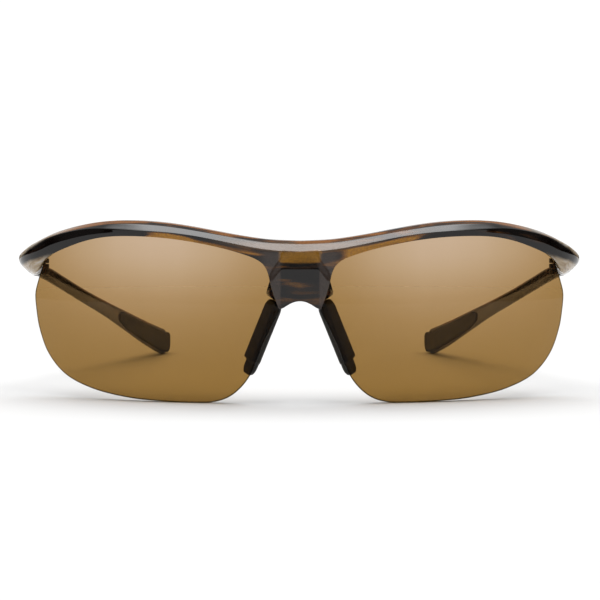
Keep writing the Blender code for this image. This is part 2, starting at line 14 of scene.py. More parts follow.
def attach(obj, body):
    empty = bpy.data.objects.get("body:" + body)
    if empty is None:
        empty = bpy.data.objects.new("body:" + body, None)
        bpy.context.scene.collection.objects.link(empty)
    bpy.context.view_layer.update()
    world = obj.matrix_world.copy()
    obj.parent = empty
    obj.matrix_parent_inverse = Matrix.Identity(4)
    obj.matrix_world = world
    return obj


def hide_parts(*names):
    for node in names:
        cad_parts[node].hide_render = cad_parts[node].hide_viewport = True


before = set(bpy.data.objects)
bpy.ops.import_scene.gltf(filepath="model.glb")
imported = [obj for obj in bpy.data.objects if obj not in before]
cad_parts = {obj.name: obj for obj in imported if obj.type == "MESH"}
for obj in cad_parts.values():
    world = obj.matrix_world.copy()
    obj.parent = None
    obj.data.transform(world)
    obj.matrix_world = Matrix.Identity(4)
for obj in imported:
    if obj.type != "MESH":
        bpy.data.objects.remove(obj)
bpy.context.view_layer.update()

MM = 0.001
SIDES = {1: "left", -1: "right"}

# Sphere that both lenses belong to.
LENS_RADIUS = 66.0
LENS_THICKNESS = 2.0
LENS_CENTRE_X = 14.5
LENS_CENTRE_Y = 67.3
LENS_CENTRE_Z = 24.0
LENS_CLEARANCE = 0.2
LENS_MIDDLE = (34.0, 21.0)
LENS_RINGS = 12
LENS_EDGE_ROUND = 0.08
GROOVE_EDGE_ROUND = 0.05
# Rounded edge of a lens as shares of its radius: in from the outline, down from the face.
LENS_EDGE_STEPS = ((4.2, 0.0), (3.0, 0.0), (1.0, 0.0), (0.3, 0.3), (0.0, 1.0))
# Painted dark line along a lens edge, in place of the darkening refraction gives it: whole up to this far
# from the outline, gone from this far.
LENS_EDGE_LINE = (0.25, 0.33)
FREE_EDGE_POINTS = 150
SEATED_EDGE_POINTS = 100
LENS_FREE_EDGE = [
    (63.3, 34.2), (65.0, 29.0), (65.85, 25.5), (65.6, 21.5), (64.8, 16.8), (62.5, 10.7),
    (58.2, 5.8), (51.5, 2.7), (42.0, 0.8), (32.5, 0.16), (26.0, 0.06), (21.0, 0.3),
    (17.2, 1.6), (14.1, 4.2), (11.8, 7.5), (8.6, 15.3), (4.7, 23.2)]
LENS_SEATED_EDGE = [
    (4.7, 23.2), (5.4, 27.0), (6.1, 30.6), (7.3, 34.2), (10.6, 36.9), (17.5, 38.9),
    (27.0, 40.8), (36.2, 41.7), (46.2, 41.6), (53.0, 40.1), (58.0, 38.0), (63.3, 34.2)]

# Rows of the front frame: heights over the distance from the middle of the bridge.
CROWN_HEIGHTS = [(0, 39.6), (8, 40.0), (16, 41.2), (25, 42.8), (33, 43.9), (41, 44.3), (48, 44.0),
                 (54, 42.9), (59, 41.5), (63, 39.8), (66, 38.2), (70, 36.5), (77.3, 34.3)]
SEAT_HEIGHTS = [(14.9, 36.9), (18, 37.8), (27, 39.6), (36, 40.5), (46, 40.4), (52, 39.2), (57, 37.3),
                (60, 35.9), (63, 33.7), (64.3, 32.0), (65.1, 30.6), (66.5, 30.0), (70, 29.8),
                (77.3, 29.3)]
CREASE_HEIGHTS = [(14.9, 37.9), (20, 39.1), (30, 41.0), (41, 41.45), (51.4, 40.5), (59.6, 38.1),
                  (63.6, 35.9), (67.5, 33.6), (72, 32.6), (77.3, 32.2)]
BEVEL_DROPS = [(0, 2.5), (12, 2.2), (25, 1.9), (41, 2.2), (52, 1.3), (66, 1.2), (77.3, 0.9)]
EDGE_DROP = 0.75
NOSE_TURN = [((14.9, 36.9), (14.9, 37.9)), ((11.2, 35.7), (11.0, 37.2)), ((9.2, 34.5), (8.2, 36.95)),
             ((8.2, 33.2), (5.8, 36.9)), ((7.6, 31.6), (4.0, 36.3)), ((7.35, 30.2), (4.4, 34.6)),
             ((7.0, 28.6), (4.5, 32.8)), ((6.4, 26.7), (4.3, 29.5)), ((5.7, 24.8), (4.15, 26.3)),
             ((5.05, 23.2), (4.0, 23.5))]
EAR = 4
PANEL_DEPTHS = (0.25, 0.2, 0.15, 0.6, 1.0, 1.4)
PANEL_ARCH = (0.0, 0.0, 0.0, 0.3, 1.0, 1.8)
PANEL_CREASE_ROW = 2
PANEL_COLUMNS = 4
BRIDGE_BACK = 5.8
BACK_CHAMFER = 0.5
ROLL_START = 66.0
ROLL_RADIUS = 14.0
ROLL_END = 77.3
ROLL_ARC = 74.0
ROLL_LEAN = 9.5
BUTT_HEADING = math.radians(98.0)
FACE_OUT = 1.8
BACK_IN = -3.2
LIP_OUT = 0.85
# Lift of the back lip at the outer corner of the lens, where it would show from the front.
CORNER_LIFT = 2.7
# How crisp the edges of the moulding stay when it is subdivided.
SMOOTH_LEVELS = 3
ROW_CREASE = 0.62
RIM_CREASE = 0.55

# Hinge.
HINGE_X = 64.4
HINGE_Y = 37.3
BARREL_RADIUS = 1.4
BARREL_LEVELS = [(29.7, 30.8), (31.05, 32.15), (32.4, 33.5)]
BARREL_GAP_RADIUS = 1.75
BARREL_GAP_LEVELS = (25.0, 40.0)
BORE_LEVELS = (28.0, 36.0)
PIN_RADIUS = 0.6
PIN_HOLE_RADIUS = 0.85
HEAD_RADIUS = 1.15
TONGUE_THICKNESS = 0.9
# Tongues of the leaves, at the barrel and at the far end: (distance, low z, high z).
FRONT_TONGUE = ((0.9, 30.3, 33.0), (5.8, 30.6, 33.0))
TEMPLE_TONGUE = ((0.9, 31.1, 32.1), (5.8, 29.4, 30.6))
FRONT_TONGUE_HEADING = math.radians(-58.0)
TEMPLE_TONGUE_HEADING = math.radians(81.0)
POCKET_CLEARANCE = 0.25
METAL_ROUND = 0.07

# Temples: (y, inner face x, thickness, bottom z, top z).
TEMPLE_SECTIONS = [
    (37.5, 65.55, 5.0, 29.2, 34.3), (40.0, 65.0, 4.6, 28.8, 33.2), (43.5, 63.8, 4.0, 27.8, 31.4),
    (48.0, 62.4, 3.4, 26.4, 30.1), (57.0, 60.2, 2.9, 23.9, 27.6), (73.0, 56.2, 2.7, 19.5, 23.3),
    (90.5, 51.9, 2.7, 14.8, 19.1), (108.5, 47.4, 2.7, 9.4, 15.0), (127.0, 42.7, 2.9, 3.8, 10.8),
    (141.5, 39.0, 3.2, 0.1, 7.7), (144.6, 38.2, 3.2, 0.1, 7.1)]
TEMPLE_STATIONS = 110
TEMPLE_PROFILE = [(0.0, 0.12), (0.1, 0.0), (0.34, 0.0), (1.0, 0.59), (1.0, 0.78), (0.78, 0.88),
                  (0.56, 1.0), (0.16, 1.0), (0.0, 0.86)]
TEMPLE_CORNER = 0.35
TEMPLE_END_ROUND = 0.35

# Soft pad of the temple tip.
TIP_PAD_START = 101.0
TIP_PAD_END = 146.8
TIP_PAD_PROUD = 0.7
TIP_PAD_LET_IN = 1.0
TIP_PAD_STATIONS = 60
TIP_PAD_GAP = 0.3
TIP_PAD_CORNER = 0.5
TIP_PAD_HEADING = Vector((-0.24, 1, 0))
TIP_PAD_HALF_HEIGHT = 0.36
TIP_END_LOW = 0.35
TIP_END_DOME = 2.6

# Nose pad.
PAD_MIDDLE = Vector((9.45, 9.0, 15.9))
PAD_TILT = math.radians(22.0)
PAD_SPLAY = math.radians(20.0)
PAD_LENGTH = 19.0
PAD_WIDTH = 8.0
PAD_THICKNESS = 2.5
PAD_STEP = 3.4
CORE_WIDTH = 2.2
CORE_THICKNESS = 0.9
CORE_TOP = -12.9
CORE_BOTTOM = 3.0
CORE_CLEARANCE = 0.3
STUB_END = -9.9
STUB_WIDTHS = (-2.6, 2.6)
STUB_THICKNESSES = (-2.2, 1.7)
STUB_ROOT_DEPTH = 4.7
STUB_ROOT = [(2.2, 26.5), (7.5, 26.4), (2.4, 32.5), (7.1, 31.2)]

DEPTH_SHIFT = TIP_PAD_END / 2


# ---------------------------------------------------------------- curves and points

def ease(value, low, high):
    """Rises smoothly from 0 at low to 1 at high."""
    t = min(1.0, max(0.0, (value - low) / (high - low)))
    return t * t * (3.0 - 2.0 * t)


def curve_point(points, place):
    """Point on a smooth curve through the points; place counts points from the first."""
    last = len(points) - 1
    i = min(last - 1, max(0, int(place)))
    t = place - i
    p1, p2 = Vector(points[i]), Vector(points[i + 1])
    p0 = Vector(points[i - 1]) if i > 0 else p1 * 2 - p2
    p3 = Vector(points[i + 2]) if i + 2 <= last else p2 * 2 - p1
    knots = [0.0]
    for a, b in ((p0, p1), (p1, p2), (p2, p3)):
        knots.append(knots[-1] + math.sqrt((b - a).length))
    t0, t1, t2, t3 = knots
    u = t1 + t * (t2 - t1)
    a1 = p0 * ((t1 - u) / (t1 - t0)) + p1 * ((u - t0) / (t1 - t0))
    a2 = p1 * ((t2 - u) / (t2 - t1)) + p2 * ((u - t1) / (t2 - t1))
    a3 = p2 * ((t3 - u) / (t3 - t2)) + p3 * ((u - t2) / (t3 - t2))
    b1 = a1 * ((t2 - u) / (t2 - t0)) + a2 * ((u - t0) / (t2 - t0))
    b2 = a2 * ((t3 - u) / (t3 - t1)) + a3 * ((u - t1) / (t3 - t1))
    return b1 * ((t2 - u) / (t2 - t1)) + b2 * ((u - t1) / (t2 - t1))


def height_at(knots, value):
    """Smooth height through (place, height) knots."""
    i = 0
    while i < len(knots) - 2 and value > knots[i + 1][0]:
        i += 1
    span = knots[i + 1][0] - knots[i][0]
    t = min(1.0, max(0.0, (value - knots[i][0]) / span))

    def slope(k):
        low, high = max(0, k - 1), min(len(knots) - 1, k + 1)
        return (knots[high][1] - knots[low][1]) / (knots[high][0] - knots[low][0])

    h0, h1 = knots[i][1], knots[i + 1][1]
    m0, m1 = slope(i) * span, slope(i + 1) * span
    return (h0 * (2 * t ** 3 - 3 * t ** 2 + 1) + m0 * (t ** 3 - 2 * t ** 2 + t)
            + h1 * (3 * t ** 2 - 2 * t ** 3) + m1 * (t ** 3 - t ** 2))


def evenly(points, count):
    """Points spaced evenly along the smooth curve, both ends included."""
    fine = [curve_point(points, k / 40.0) for k in range(40 * (len(points) - 1) + 1)]
    reach = [0.0]
    for a, b in zip(fine, fine[1:]):
        reach.append(reach[-1] + (b - a).length)
    spaced = []
    k = 0
    for step in range(count + 1):
        goal = reach[-1] * step / count
        while k < len(reach) - 2 and reach[k + 1] < goal:
            k += 1
        t = (goal - reach[k]) / (reach[k + 1] - reach[k])
        spaced.append(fine[k].lerp(fine[k + 1], min(1.0, max(0.0, t))))
    return spaced


def rounded(corners, radius, steps=4):
    """Closed outline with its corners rounded off."""
    outline = []
    count = len(corners)
    for k in range(count):
        here = Vector(corners[k])
        before, after = Vector(corners[k - 1]), Vector(corners[(k + 1) % count])
        cut_a = min(radius, (before - here).length * 0.45)
        cut_b = min(radius, (after - here).length * 0.45)
        start = here + (before - here).normalized() * cut_a
        end = here + (after - here).normalized() * cut_b
        for step in range(steps + 1):
            t = step / steps
            outline.append(start * (1 - t) ** 2 + here * 2 * t * (1 - t) + end * t ** 2)
    return outline


def lens_edge_point(side, x, z, out):
    """Point of a lens edge, which is cut straight back: the shell at out, right behind (x, z)."""
    drop_x, drop_z = x - LENS_CENTRE_X, z - LENS_CENTRE_Z
    reach = math.sqrt((LENS_RADIUS + out) ** 2 - drop_x ** 2 - drop_z ** 2)
    return Vector((side * x, LENS_CENTRE_Y - reach, z))


def wrap_point(x, z, out):
    """Point of the front frame: x along the brow, z up, out from the face of the lens."""
    side = -1 if x < 0 else 1
    reach = abs(x)
    upright = ease(reach, 52, 72)
    lean = (z - LENS_CENTRE_Z) * (1 - upright) + ROLL_LEAN * upright
    face = math.sqrt(LENS_RADIUS ** 2 - lean ** 2)
    radius = math.sqrt((LENS_RADIUS + out) ** 2 - lean ** 2)
    if reach <= LENS_CENTRE_X:
        return Vector((x, LENS_CENTRE_Y - radius, z))
    angle = math.asin((min(reach, ROLL_START) - LENS_CENTRE_X) / face)
    inner = 0.0
    if reach > ROLL_START:
        inner = face - ROLL_RADIUS
        start = angle
        angle += (BUTT_HEADING - angle) * (reach - ROLL_START) / (ROLL_END - ROLL_START)
        hub_x = LENS_CENTRE_X + inner * math.sin(start)
        hub_y = LENS_CENTRE_Y - inner * math.cos(start)
    else:
        hub_x, hub_y = LENS_CENTRE_X, LENS_CENTRE_Y
    swing = radius - inner
    return Vector((side * (hub_x + swing * math.sin(angle)), hub_y - swing * math.cos(angle), z))


def out_for_depth(z, depth):
    """The out value that puts a point of the bridge at a depth behind its front."""
    return math.sqrt((LENS_CENTRE_Y - depth) ** 2 + (z - LENS_CENTRE_Z) ** 2) - LENS_RADIUS


def pad_point(side, along, across, out):
    """Point in the frame of a nose pad: down its length, across to the back, out to the nose."""
    length = Vector((math.sin(PAD_TILT), 0, -math.cos(PAD_TILT)))
    width = Vector((math.sin(PAD_SPLAY) * math.cos(PAD_TILT), math.cos(PAD_SPLAY),
                    math.sin(PAD_SPLAY) * math.sin(PAD_TILT)))
    point = PAD_MIDDLE + length * along + width * across + width.cross(length) * out
    return Vector((side * point.x, point.y, point.z))


# ---------------------------------------------------------------- meshes

def make_object(name, shape, look=None):
    """Puts a millimetre bmesh into the scene as an object, in metres."""
    bmesh.ops.recalc_face_normals(shape, faces=shape.faces)
    place = Matrix.Scale(MM, 4) @ Matrix.Translation((0, -DEPTH_SHIFT, 0))
    bmesh.ops.transform(shape, matrix=place, verts=shape.verts)
    data = bpy.data.meshes.new(name)
    shape.to_mesh(data)
    shape.free()
    made = bpy.data.objects.new(name, data)
    bpy.context.collection.objects.link(made)
    if look:
        data.materials.append(look)
    return made


def settle(made, angle=30.0):
    """Applies the modifiers of an object and shades it smooth up to an angle."""
    graph = bpy.context.evaluated_depsgraph_get()
    data = bpy.data.meshes.new_from_object(made.evaluated_get(graph), depsgraph=graph)
    old = made.data
    made.modifiers.clear()
    made.data = data
    bpy.data.meshes.remove(old)
    data.shade_smooth()
    data.set_sharp_from_angle(angle=math.radians(angle))
    return made


def combine(target, tools, operation):
    """Joins or cuts the target with the tools, through Boolean modifiers."""
    for tool in tools:
        step = target.modifiers.new(tool.name, "BOOLEAN")
        step.object = tool
        step.operation = operation
        step.solver = "EXACT"


def discard(tools):
    """Removes tool objects."""
    for tool in tools:
        bpy.data.objects.remove(tool, do_unlink=True)


def soften(made, width, segments=2, angle=35.0):
    """Rounds the sharp edges of an object."""
    step = made.modifiers.new("soften", "BEVEL")
    step.width = width * MM
    step.segments = segments
    step.limit_method = "ANGLE"
    step.angle_limit = math.radians(angle)


def band(shape, a, b):
    """Quads between two closed rings with the same number of points."""
    count = len(a)
    for k in range(count):
        shape.faces.new((a[k], a[(k + 1) % count], b[(k + 1) % count], b[k]))


def loft(rings):
    """Closed solid through a row of rings with the same number of points."""
    shape = bmesh.new()
    loops = [[shape.verts.new(p) for p in ring] for ring in rings]
    for a, b in zip(loops, loops[1:]):
        band(shape, a, b)
    shape.faces.new(loops[0])
    shape.faces.new(loops[-1])
    return shape


def hull(points):
    """Convex solid round the points."""
    shape = bmesh.new()
    for p in points:
        shape.verts.new(p)
    result = bmesh.ops.convex_hull(shape, input=shape.verts)
    bmesh.ops.delete(shape, geom=result["geom_interior"], context="VERTS")
    return shape


def upright_cylinder(x, y, low, high, radius, sides=48):
    """Round bar with an upright axis."""
    shape = bmesh.new()
    bmesh.ops.create_cone(shape, cap_ends=True, segments=sides, radius1=radius, radius2=radius,
                          depth=high - low)
    bmesh.ops.translate(shape, vec=(x, y, (low + high) / 2), verts=shape.verts)
    return shape


# ---------------------------------------------------------------- lenses

def lens_outline(grow):
    """Edge of a lens, pushed outward by grow."""
    free = evenly(LENS_FREE_EDGE, FREE_EDGE_POINTS)
    seated = evenly(LENS_SEATED_EDGE, SEATED_EDGE_POINTS)
    outline = free[:-1] + seated[:-1]
    count = len(outline)
    pushed = []
    for k, point in enumerate(outline):
        along = (outline[(k + 1) % count] - outline[k - 1]).normalized()
        pushed.append(point + Vector((along.y, -along.x)) * -grow)
    return pushed


def lens_shell(side, grow, edge_round):
    """Lens as a closed shell with a rounded edge; grow adds clearance on every face."""
    middle = Vector(LENS_MIDDLE)
    thick = LENS_THICKNESS + grow
    edge = [(inset * edge_round, grow - drop * edge_round) for inset, drop in LENS_EDGE_STEPS]
    edge += [(inset, -thick + (grow - out)) for inset, out in reversed(edge)]
    inner = lens_outline(grow - edge[0][0])
    shape = bmesh.new()
    layers = []
    for out in (grow, -thick):
        rings = []
        for ring in range(1, LENS_RINGS):
            scale = 1.0 - ring / LENS_RINGS
            rings.append([shape.verts.new(lens_edge_point(side, *middle.lerp(p, scale), out))
                          for p in inner])
        layers.append((rings, shape.verts.new(lens_edge_point(side, *middle, out))))
    rim = []
    for inset, out in edge:
        rim.append([shape.verts.new(lens_edge_point(side, *p, out)) for p in lens_outline(grow - inset)])
    count = len(inner)
    for (rings, centre), outer in zip(layers, (rim[0], rim[-1])):
        band(shape, outer, rings[0])
        for a, b in zip(rings, rings[1:]):
            band(shape, a, b)
        for k in range(count):
            shape.faces.new((rings[-1][k], rings[-1][(k + 1) % count], centre))
    for a, b in zip(rim, rim[1:]):
        band(shape, a, b)
    return shape


# ---------------------------------------------------------------- front frame

class FrontSheet:
    """The front frame seen from the front: a sheet of quads with a front and a back face."""

    def __init__(self):
        self.points = []
        self.quads = []
        self.crisp = {}

    def add(self, x, z, front, back, back_rise=0.0, chamfer=0.0):
        self.points.append((x, z, front, back, back_rise, chamfer))
        return len(self.points) - 1

    def strip(self, lower, upper):
        for k in range(len(lower) - 1):
            self.quads.append((lower[k], lower[k + 1], upper[k + 1], upper[k]))

    def crisp_row(self, row, value):
        for a, b in zip(row, row[1:]):
            self.crisp[frozenset((a, b))] = value

    def solid(self):
        shape = bmesh.new()
        crease = shape.edges.layers.float.new("crease_edge")
        front = [shape.verts.new(wrap_point(x, z, out)) for x, z, out, _, _, _ in self.points]
        back = [shape.verts.new(wrap_point(x, z + rise, out)) for x, z, _, out, rise, _ in self.points]
        used = {}
        for quad in self.quads:
            shape.faces.new([front[k] for k in quad])
            shape.faces.new([back[k] for k in reversed(quad)])
            for k in range(4):
                pair = (quad[k], quad[(k + 1) % 4])
                used[frozenset(pair)] = None if frozenset(pair) in used else pair
        rim = {}
        turns = {}
        for pair in used.values():
            if pair is None:
                continue
            for k in pair:
                if k not in rim:
                    x, z, out, inner, rise, chamfer = self.points[k]
                    middle = inner + chamfer if chamfer else (out + inner) / 2
                    height = z if chamfer else z + rise / 2
                    rim[k] = shape.verts.new(wrap_point(x, height, middle))
            a, b = pair
            shape.faces.new((front[b], front[a], rim[a], rim[b]))
            shape.faces.new((rim[b], rim[a], back[a], back[b]))
            way = (front[b].co - front[a].co).normalized()
            for k in pair:
                turns.setdefault(k, []).append(way)
            reach = min(abs(self.points[a][0]), abs(self.points[b][0]))
            keep = 1.0 if reach == ROLL_END else 1 - 0.8 * ease(reach, 60, 70)
            shape.edges.get((front[a], front[b]))[crease] = RIM_CREASE * keep
            shape.edges.get((back[a], back[b]))[crease] = RIM_CREASE * keep
            if self.points[a][5] and self.points[b][5]:
                shape.edges.get((rim[a], rim[b]))[crease] = RIM_CREASE * keep
        for k, ways in turns.items():
            if len(ways) == 2 and ways[0].dot(ways[1]) < 0.75:
                shape.edges.get((front[k], rim[k]))[crease] = RIM_CREASE
                shape.edges.get((rim[k], back[k]))[crease] = RIM_CREASE
        for pair, value in self.crisp.items():
            a, b = tuple(pair)
            edge = shape.edges.get((front[a], front[b]))
            reach = min(abs(self.points[a][0]), abs(self.points[b][0]))
            if edge:
                edge[crease] = max(edge[crease], value * (1 - 0.9 * ease(reach, 58, 70)))
        return shape


def back_out(x):
    """Depth of the back face of the frame: deeper behind the bridge."""
    deep = out_for_depth(LENS_CENTRE_Z + 9.0, BRIDGE_BACK)
    return BACK_IN + (deep - BACK_IN) * (1 - ease(abs(x), 8, 24))


def back_lip_rise(reach):
    """Lift that hides the back lip behind the front lip where the seat slopes down."""
    slope = height_at(SEAT_HEIGHTS, reach - 0.5) - height_at(SEAT_HEIGHTS, reach + 0.5)
    shift = (reach - LENS_CENTRE_X) * (LIP_OUT - BACK_IN) / LENS_RADIUS
    corner = CORNER_LIFT * ease(reach, 62.5, 64.5) * (1 - ease(reach, 66.0, 68.6))
    return max(max(0.0, slope) * shift * (1 - ease(reach, 63.4, 65.6)), corner)


def brow_places():
    """Stations along the brow from the hinge end to the start of the nose turn."""
    roll = [ROLL_END - (ROLL_END - ROLL_START) * k / 5 for k in range(6)]
    corner = [65.1, 64.3, 63.2, 61.7]
    brow = [60.0 - (60.0 - 18.0) * k / 12 for k in range(13)]
    return roll + corner + brow


def upper_rows(sheet, x):
    """Bevel, edge and crown points above one station."""
    reach = abs(x)
    crown = height_at(CROWN_HEIGHTS, reach)
    outer = ease(reach, 46, 60)
    back = back_out(x)
    bridge = 1 - ease(reach, 8, 20)
    bevel = sheet.add(x, crown - height_at(BEVEL_DROPS, reach), FACE_OUT + 0.5 * bridge, back)
    edge = sheet.add(x, crown - EDGE_DROP, 0.8 + 0.6 * outer, back)
    top = sheet.add(x, crown, -0.4, back, back_rise=-BACK_CHAMFER, chamfer=BACK_CHAMFER)
    return bevel, edge, top


def front_frame_solid():
    """Brow, bridge and end pieces as one moulding."""
    sheet = FrontSheet()
    halves = {}
    for side in (-1, 1):
        seat, crease, upper = [], [], []
        for reach in brow_places():
            x = side * reach
            lip = LIP_OUT - 2.35 * ease(reach, 62, 72)
            seat.append(sheet.add(x, height_at(SEAT_HEIGHTS, reach), lip, back_out(x) + 0.25,
                                  back_rise=back_lip_rise(reach)))
            crease.append(sheet.add(x, height_at(CREASE_HEIGHTS, reach), 1.5 + 0.3 * ease(reach, 58, 66),
                                    back_out(x)))
            upper.append(upper_rows(sheet, x))
        for k, (low, high) in enumerate(NOSE_TURN):
            turn = ease(k, 1, EAR)
            lip = LIP_OUT - 0.45 * turn
            seat.append(sheet.add(side * low[0], low[1], lip, back_out(low[0]) + 0.25))
            face = 1.5 + 0.6 * turn
            if k >= EAR:
                face = out_for_depth(high[1], PANEL_DEPTHS[k - EAR])
            crease.append(sheet.add(side * high[0], high[1], face, back_out(high[0])))
            if k <= EAR:
                upper.append(upper_rows(sheet, side * high[0]))
        sheet.strip(seat, crease)
        sheet.crisp_row(crease, ROW_CREASE)
        halves[side] = (crease, upper)
    first = len(brow_places()) + EAR
    panel = []
    for row in range(len(PANEL_DEPTHS)):
        left, right = halves[-1][0][first + row], halves[1][0][first + row]
        x_end, z_end = sheet.points[right][:2]
        names = [left]
        for column in range(1, PANEL_COLUMNS):
            x = x_end * (2 * column / PANEL_COLUMNS - 1)
            z = z_end + PANEL_ARCH[row] * (1 - (x / x_end) ** 2)
            names.append(sheet.add(x, z, out_for_depth(z, PANEL_DEPTHS[row]), back_out(x)))
        panel.append(names + [right])
    for above, below in zip(panel, panel[1:]):
        sheet.strip(below, above)
    sheet.crisp_row(panel[PANEL_CREASE_ROW], ROW_CREASE)
    across = [upper_rows(sheet, sheet.points[k][0]) for k in panel[0][1:-1]]
    uppers = halves[-1][1] + across + halves[1][1][::-1]
    creases = halves[-1][0][:first] + panel[0] + halves[1][0][:first][::-1]
    bevels, edges, tops = zip(*uppers)
    sheet.strip(creases, bevels)
    sheet.strip(bevels, edges)
    sheet.strip(edges, tops)
    sheet.crisp_row(bevels, ROW_CREASE)
    sheet.crisp_row(edges, ROW_CREASE)
    return sheet.solid()


def nose_stub_solid(side):
    """Moulded arm behind the bridge that carries the core of a nose pad."""
    end = [pad_point(side, STUB_END, a, b) for a in STUB_WIDTHS for b in STUB_THICKNESSES]
    root = [Vector((side * x, STUB_ROOT_DEPTH, z)) for x, z in STUB_ROOT]
    return hull(end + root)


def core_solid(side, grow):
    """Flat metal strip that runs from the frame into the nose pad."""
    half_width, half_thickness = CORE_WIDTH / 2 + grow, CORE_THICKNESS / 2 + grow
    corners = [(-half_width, -half_thickness), (half_width, -half_thickness),
               (half_width, half_thickness), (-half_width, half_thickness)]
    ends = (CORE_TOP - grow, CORE_BOTTOM + grow)
    return loft([[pad_point(side, s, a, b) for a, b in corners] for s in ends])


# ---------------------------------------------------------------- hinges

def tongue_solid(side, heading, near, far, grow):
    """Flat tongue of a hinge leaf: near and far are (distance, low z, high z)."""
    along = Vector((math.cos(heading), math.sin(heading), 0))
    sideways = Vector((-along.y, along.x, 0)) * (TONGUE_THICKNESS / 2 + grow)
    points = []
    for (reach, low, high), more in ((near, 0), (far, grow)):
        for z in (low - grow, high + grow):
            for way in (-1, 1):
                point = Vector((HINGE_X, HINGE_Y, z)) + along * (reach + more) + sideways * way
                points.append((side * point.x, point.y, point.z))
    return hull(points)


def front_tongue(side, grow=0.0):
    """Tongue of the front leaf, in the end of the frame."""
    return tongue_solid(side, FRONT_TONGUE_HEADING, *FRONT_TONGUE, grow)


def temple_tongue(side, grow=0.0):
    """Tongue of the temple leaf, sloping down with the temple."""
    return tongue_solid(side, TEMPLE_TONGUE_HEADING, *TEMPLE_TONGUE, grow)


def barrel(side, level, radius, extra=0.0):
    """One knuckle of a hinge, or the space for it."""
    low, high = level
    return upright_cylinder(side * HINGE_X, HINGE_Y, low - extra, high + extra, radius)


def screw_solid(side):
    """Hinge screw with a domed head."""
    low, seat = BARREL_LEVELS[0][0] + 0.1, BARREL_LEVELS[-1][1] + 0.2
    sides = 48
    rings = []
    for radius, z in ((PIN_RADIUS - 0.08, low), (PIN_RADIUS, low + 0.08), (PIN_RADIUS, seat),
                      (HEAD_RADIUS - 0.05, seat), (HEAD_RADIUS, seat + 0.05),
                      (HEAD_RADIUS, seat + 0.28), (HEAD_RADIUS * 0.94, seat + 0.38),
                      (HEAD_RADIUS * 0.8, seat + 0.46), (HEAD_RADIUS * 0.4, seat + 0.5)):
        rings.append([(side * HINGE_X + radius * math.cos(math.tau * k / sides),
                       HINGE_Y + radius * math.sin(math.tau * k / sides), z) for k in range(sides)])
    return loft(rings)


def screw_slot_solid(side):
    """Straight slot across the head of the screw."""
    top = BARREL_LEVELS[-1][1] + 0.7
    return hull([(side * HINGE_X + a, HINGE_Y + b, z) for a in (-1.3, 1.3) for b in (-0.14, 0.14)
                 for z in (top - 0.28, top + 0.3)])


# ---------------------------------------------------------------- temples and pads

def temple_frame(y):
    """Inner-face point, outward direction, thickness, bottom and top of the temple at y."""
    columns = [[(row[0], row[k]) for row in TEMPLE_SECTIONS] for k in range(1, 5)]
    inner, thick, bottom, top = (height_at(column, y) for column in columns)
    lean = (height_at(columns[0], y + 0.5) - height_at(columns[0], y - 0.5))
    start = ease(y, TEMPLE_SECTIONS[0][0], 43.0)
    lean = lean * start + math.cos(BUTT_HEADING) * (1 - start)
    outward = Vector((1, -lean, 0)).normalized()
    return Vector((inner, y, 0)), outward, thick, bottom, top


def section_ring(side, inner, outward, flats):
    """Ring of a temple section: flat points give the way out of the inner face and the height."""
    ring = []
    for flat in flats:
        point = inner + outward * flat.x
        ring.append((side * point.x, point.y, flat.y))
    return ring


def temple_solid(side):
    """Temple arm from the hinge down to its tip, with rounded edges."""
    first, last = TEMPLE_SECTIONS[0][0], TEMPLE_SECTIONS[-1][0]
    places = [(first, TEMPLE_END_ROUND * 0.6), (first + TEMPLE_END_ROUND * 0.3, TEMPLE_END_ROUND * 0.15)]
    for k in range(TEMPLE_STATIONS + 1):
        share = k / TEMPLE_STATIONS
        start, end = first + TEMPLE_END_ROUND, last - TEMPLE_END_ROUND
        places.append((start + (end - start) * (0.55 * share + 0.45 * share ** 2), 0.0))
    places += [(last - TEMPLE_END_ROUND * 0.3, TEMPLE_END_ROUND * 0.3), (last, TEMPLE_END_ROUND)]
    rings = []
    for y, shrink in places:
        inner, outward, thick, bottom, top = temple_frame(y)
        outline = rounded([(a * thick, bottom + b * (top - bottom)) for a, b in TEMPLE_PROFILE],
                          TEMPLE_CORNER)
        middle = Vector((thick / 2, (bottom + top) / 2))
        flats = [flat + (middle - flat).normalized() * shrink for flat in outline]
        rings.append(section_ring(side, inner, outward, flats))
    return loft(rings)


